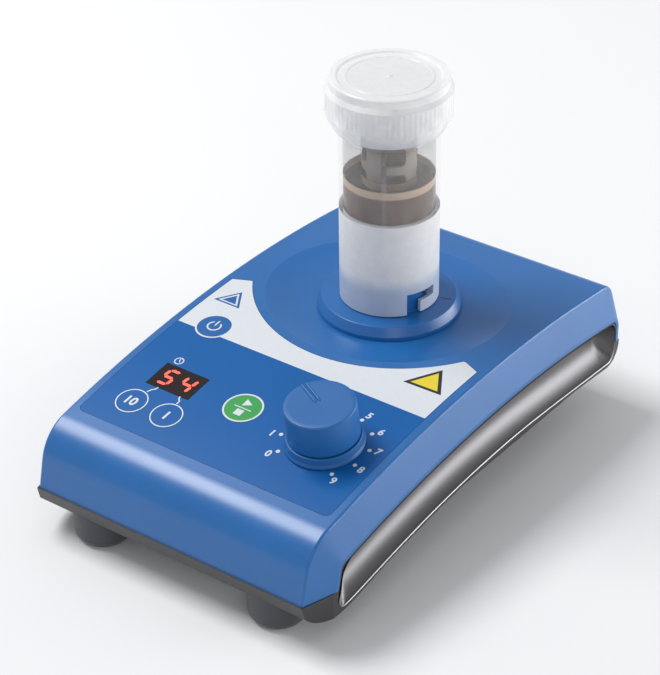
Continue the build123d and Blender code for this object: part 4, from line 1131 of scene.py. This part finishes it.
class DRIVE_OT_cap(bpy.types.Operator):
    """Screw cap: flared skirt, stepped crown, recessed plate with rings and a gate mark"""
    bl_idname = "drive.cap"
    bl_label = "Screw cap"

    def execute(self, context):
        bore, outer = TUBE_RADIUS + 0.25, float(CAP_HIGH[0])
        low, top = float(CAP_LOW[2]), float(CAP_HIGH[2])
        plate = top - 0.6
        corners = [(bore, low), (bore + 1.1, low), (outer - 0.5, low + 3.6), (outer, low + 5.0),
                   (outer, top - 3.9), (outer - 1.1, top - 2.5), (outer - 1.1, top - 0.4), (outer - 1.6, top),
                   (bore + 0.3, top), (bore - 0.3, plate), (13.0, plate), (12.8, plate + 0.18),
                   (12.2, plate + 0.18), (12.0, plate), (1.0, plate), (0.6, plate + 0.3), (0, plate + 0.3),
                   (0, plate - 1.1), (bore, plate - 1.1)]
        radii = [0.2, 0.4, 1.2, 1.2, 0.6, 0.5, 0.5, 0.4, 0.3, 0.2, 0.1, 0.1, 0.1, 0.1, 0.1, 0.1, 0, 0, 0.5]
        outline = softened(corners, radii)
        ribs, rib_depth = 72, 0.05

        def facets(angle, height, radius):
            """Fine grip ribs round the skirt: a cosine round the cap, only on its outer face."""
            grip = (radius > outer - 0.25) & (height > low + 4.5) & (height < top - 4.0)
            return np.where(grip, rib_depth * np.cos(ribs * angle) - rib_depth, 0.0)

        build("cap_shell", [turned(outline, 576, wave=facets)], "cap", "cap_plastic",
              replaces=["screw_cap"])
        rings = []
        rise, ring_radius = 2.8, 0.32
        for z in (103.2, 106.0, 108.8):
            path = helix(bore - 0.12, z - rise / 2, 1.0, rise, 110)
            rings.append(swept(path, ring_radius, 6, UP))
        build("cap_thread", rings, "cap", "cap_plastic")
        return {"FINISHED"}


class DRIVE_OT_sample(bpy.types.Operator):
    """Liquid sample round the stator cage, with a raised edge where it meets the walls"""
    bl_idname = "drive.sample"
    bl_label = "Sample"

    def execute(self, context):
        inner, outer = 8.15, TUBE_RADIUS - 1.32
        cage_foot, foot_height, chamber_top = 9.75, 1.3, 98.0
        climb, climb_width = 0.7, 0.5
        floor = FLOOR_Z + 0.12
        level = chamber_top - sizes().liquid_gap / MM
        r = np.linspace(inner, outer, 24)
        edge = np.minimum(r - inner, outer - r)
        surface = np.stack([r, level + climb * np.exp(-edge / climb_width)], -1)
        base = np.array([(outer, floor), (cage_foot, floor), (cage_foot, floor + foot_height),
                         (inner, floor + foot_height)])
        build("sample_liquid", [turned(np.concatenate([surface, base]), 128)], "tube", "tube_plastic",
              extra("sample", liquid_finish))
        return {"FINISHED"}


# ---- stage
FLOOR_REACH = 1600.0           # from the drive to the floor's edges


class DRIVE_OT_stage(bpy.types.Operator):
    """Pale floor, soft studio light and the camera"""
    bl_idname = "drive.stage"
    bl_label = "Stage"

    def execute(self, context):
        self.floor()
        self.lights()
        self.camera()
        return {"FINISHED"}

    def floor(self):
        """Level square of pale paper."""
        across = np.linspace(-FLOOR_REACH, FLOOR_REACH, 40)
        x, y = np.meshgrid(across, across, indexing="ij")
        points, faces = grid(np.stack([x, y, np.zeros_like(x)], -1))
        mesh = bpy.data.meshes.new("studio_floor")
        mesh.from_pydata((points * MM).tolist(), [], faces)
        floor = bpy.data.objects.new("studio_floor", mesh)
        bpy.context.scene.collection.objects.link(floor)
        finish = Finish("studio_paper")
        tone = finish.noise(120.0, 2.0)
        finish.set(Base_Color=finish.mix(tone, (0.85, 0.85, 0.86), (0.87, 0.87, 0.87)), Roughness=0.9)
        mesh.materials.append(finish.material)

    def lights(self):
        world = bpy.data.worlds.new("studio")
        bpy.context.scene.world = world
        world.use_nodes = True
        background = world.node_tree.nodes["Background"]
        background.inputs["Color"].default_value = (0.95, 0.97, 1.0, 1.0)
        background.inputs["Strength"].default_value = 0.47
        bpy.context.scene.view_settings.view_transform = "Standard"
        lamps = (("overhead_left", (-0.62, -0.12, 1.05), (0.0, -0.02, 0.03), 0.62, 0.42, 10.5),
                 ("low_right", (0.52, 0.49, 0.09), (0.03, 0.0, 0.03), 0.7, 0.2, 3.2),
                 ("front_right", (0.9, -0.9, 0.6), (0.0, 0.0, 0.06), 0.5, 0.5, 1.2))
        for name, place, target, width, height, power in lamps:
            lamp = bpy.data.lights.new(name, "AREA")
            lamp.shape = "RECTANGLE"
            lamp.size, lamp.size_y = width, height
            lamp.energy = power
            obj = bpy.data.objects.new(name, lamp)
            obj.location = place
            obj.rotation_euler = (Vector(target) - Vector(place)).to_track_quat("-Z", "Y").to_euler()
            bpy.context.scene.collection.objects.link(obj)

    def camera(self):
        """Camera from the front right, a third of the way up; its axes from azimuth, elevation and roll."""
        azimuth, elevation, roll = radians(37.232), radians(32.066), radians(-0.83)
        distance, offset = 725.86, (-0.058, 37.18)
        back = np.array([sin(azimuth) * cos(elevation), -cos(azimuth) * cos(elevation), sin(elevation)])
        right = np.cross([0, 0, 1], back)
        right /= np.linalg.norm(right)
        up = np.cross(back, right)
        axes = np.array([right * cos(roll) + up * sin(roll), -right * sin(roll) + up * cos(roll), back])
        place = axes.T @ np.array([*offset, distance]) - np.array([0.0, 2.5, 0.0])
        data = bpy.data.cameras.new("studio_camera")
        data.sensor_width = 36.0
        data.lens = 130.6
        data.clip_start = 0.01
        camera = bpy.data.objects.new("studio_camera", data)
        matrix = np.eye(4)
        matrix[:3, :3] = axes.T
        matrix[:3, 3] = place * MM
        camera.matrix_world = Matrix(matrix.tolist())
        bpy.context.scene.collection.objects.link(camera)
        bpy.context.scene.camera = camera


OPERATORS = (DRIVE_OT_stage, DRIVE_OT_frame, DRIVE_OT_recesses, DRIVE_OT_feet, DRIVE_OT_print, DRIVE_OT_keys,
             DRIVE_OT_display, DRIVE_OT_knob, DRIVE_OT_seat, DRIVE_OT_tube, DRIVE_OT_cap, DRIVE_OT_sample)


class DRIVE_PT_panel(bpy.types.Panel):
    """Sizes, colours and pieces of the mixing drive"""
    bl_label = "Mixing drive"
    bl_idname = "DRIVE_PT_panel"
    bl_space_type = "VIEW_3D"
    bl_region_type = "UI"
    bl_category = "Mixing drive"

    def draw(self, context):
        for group in (context.scene.drive_sizes, context.scene.drive_colours):
            for name in group.__annotations__:
                self.layout.prop(group, name)
        for operator in OPERATORS:
            self.layout.operator(operator.bl_idname)


CLASSES = (DriveColours, DriveSizes, *OPERATORS, DRIVE_PT_panel)


def register():
    for cls in CLASSES:
        bpy.utils.register_class(cls)
    bpy.types.Scene.drive_colours = bpy.props.PointerProperty(type=DriveColours)
    bpy.types.Scene.drive_sizes = bpy.props.PointerProperty(type=DriveSizes)


def unregister():
    del bpy.types.Scene.drive_sizes
    del bpy.types.Scene.drive_colours
    for cls in reversed(CLASSES):
        bpy.utils.unregister_class(cls)


def main():
    register()
    bpy.ops.drive.stage()
    bpy.ops.drive.frame()
    bpy.ops.drive.recesses()
    bpy.ops.drive.feet()
    bpy.ops.drive.panel_print()
    bpy.ops.drive.keys()
    bpy.ops.drive.display()
    bpy.ops.drive.knob()
    bpy.ops.drive.seat()
    bpy.ops.drive.tube()
    bpy.ops.drive.cap()
    bpy.ops.drive.sample()
    bpy.context.view_layer.update()


if __name__ == "__main__":
    main()
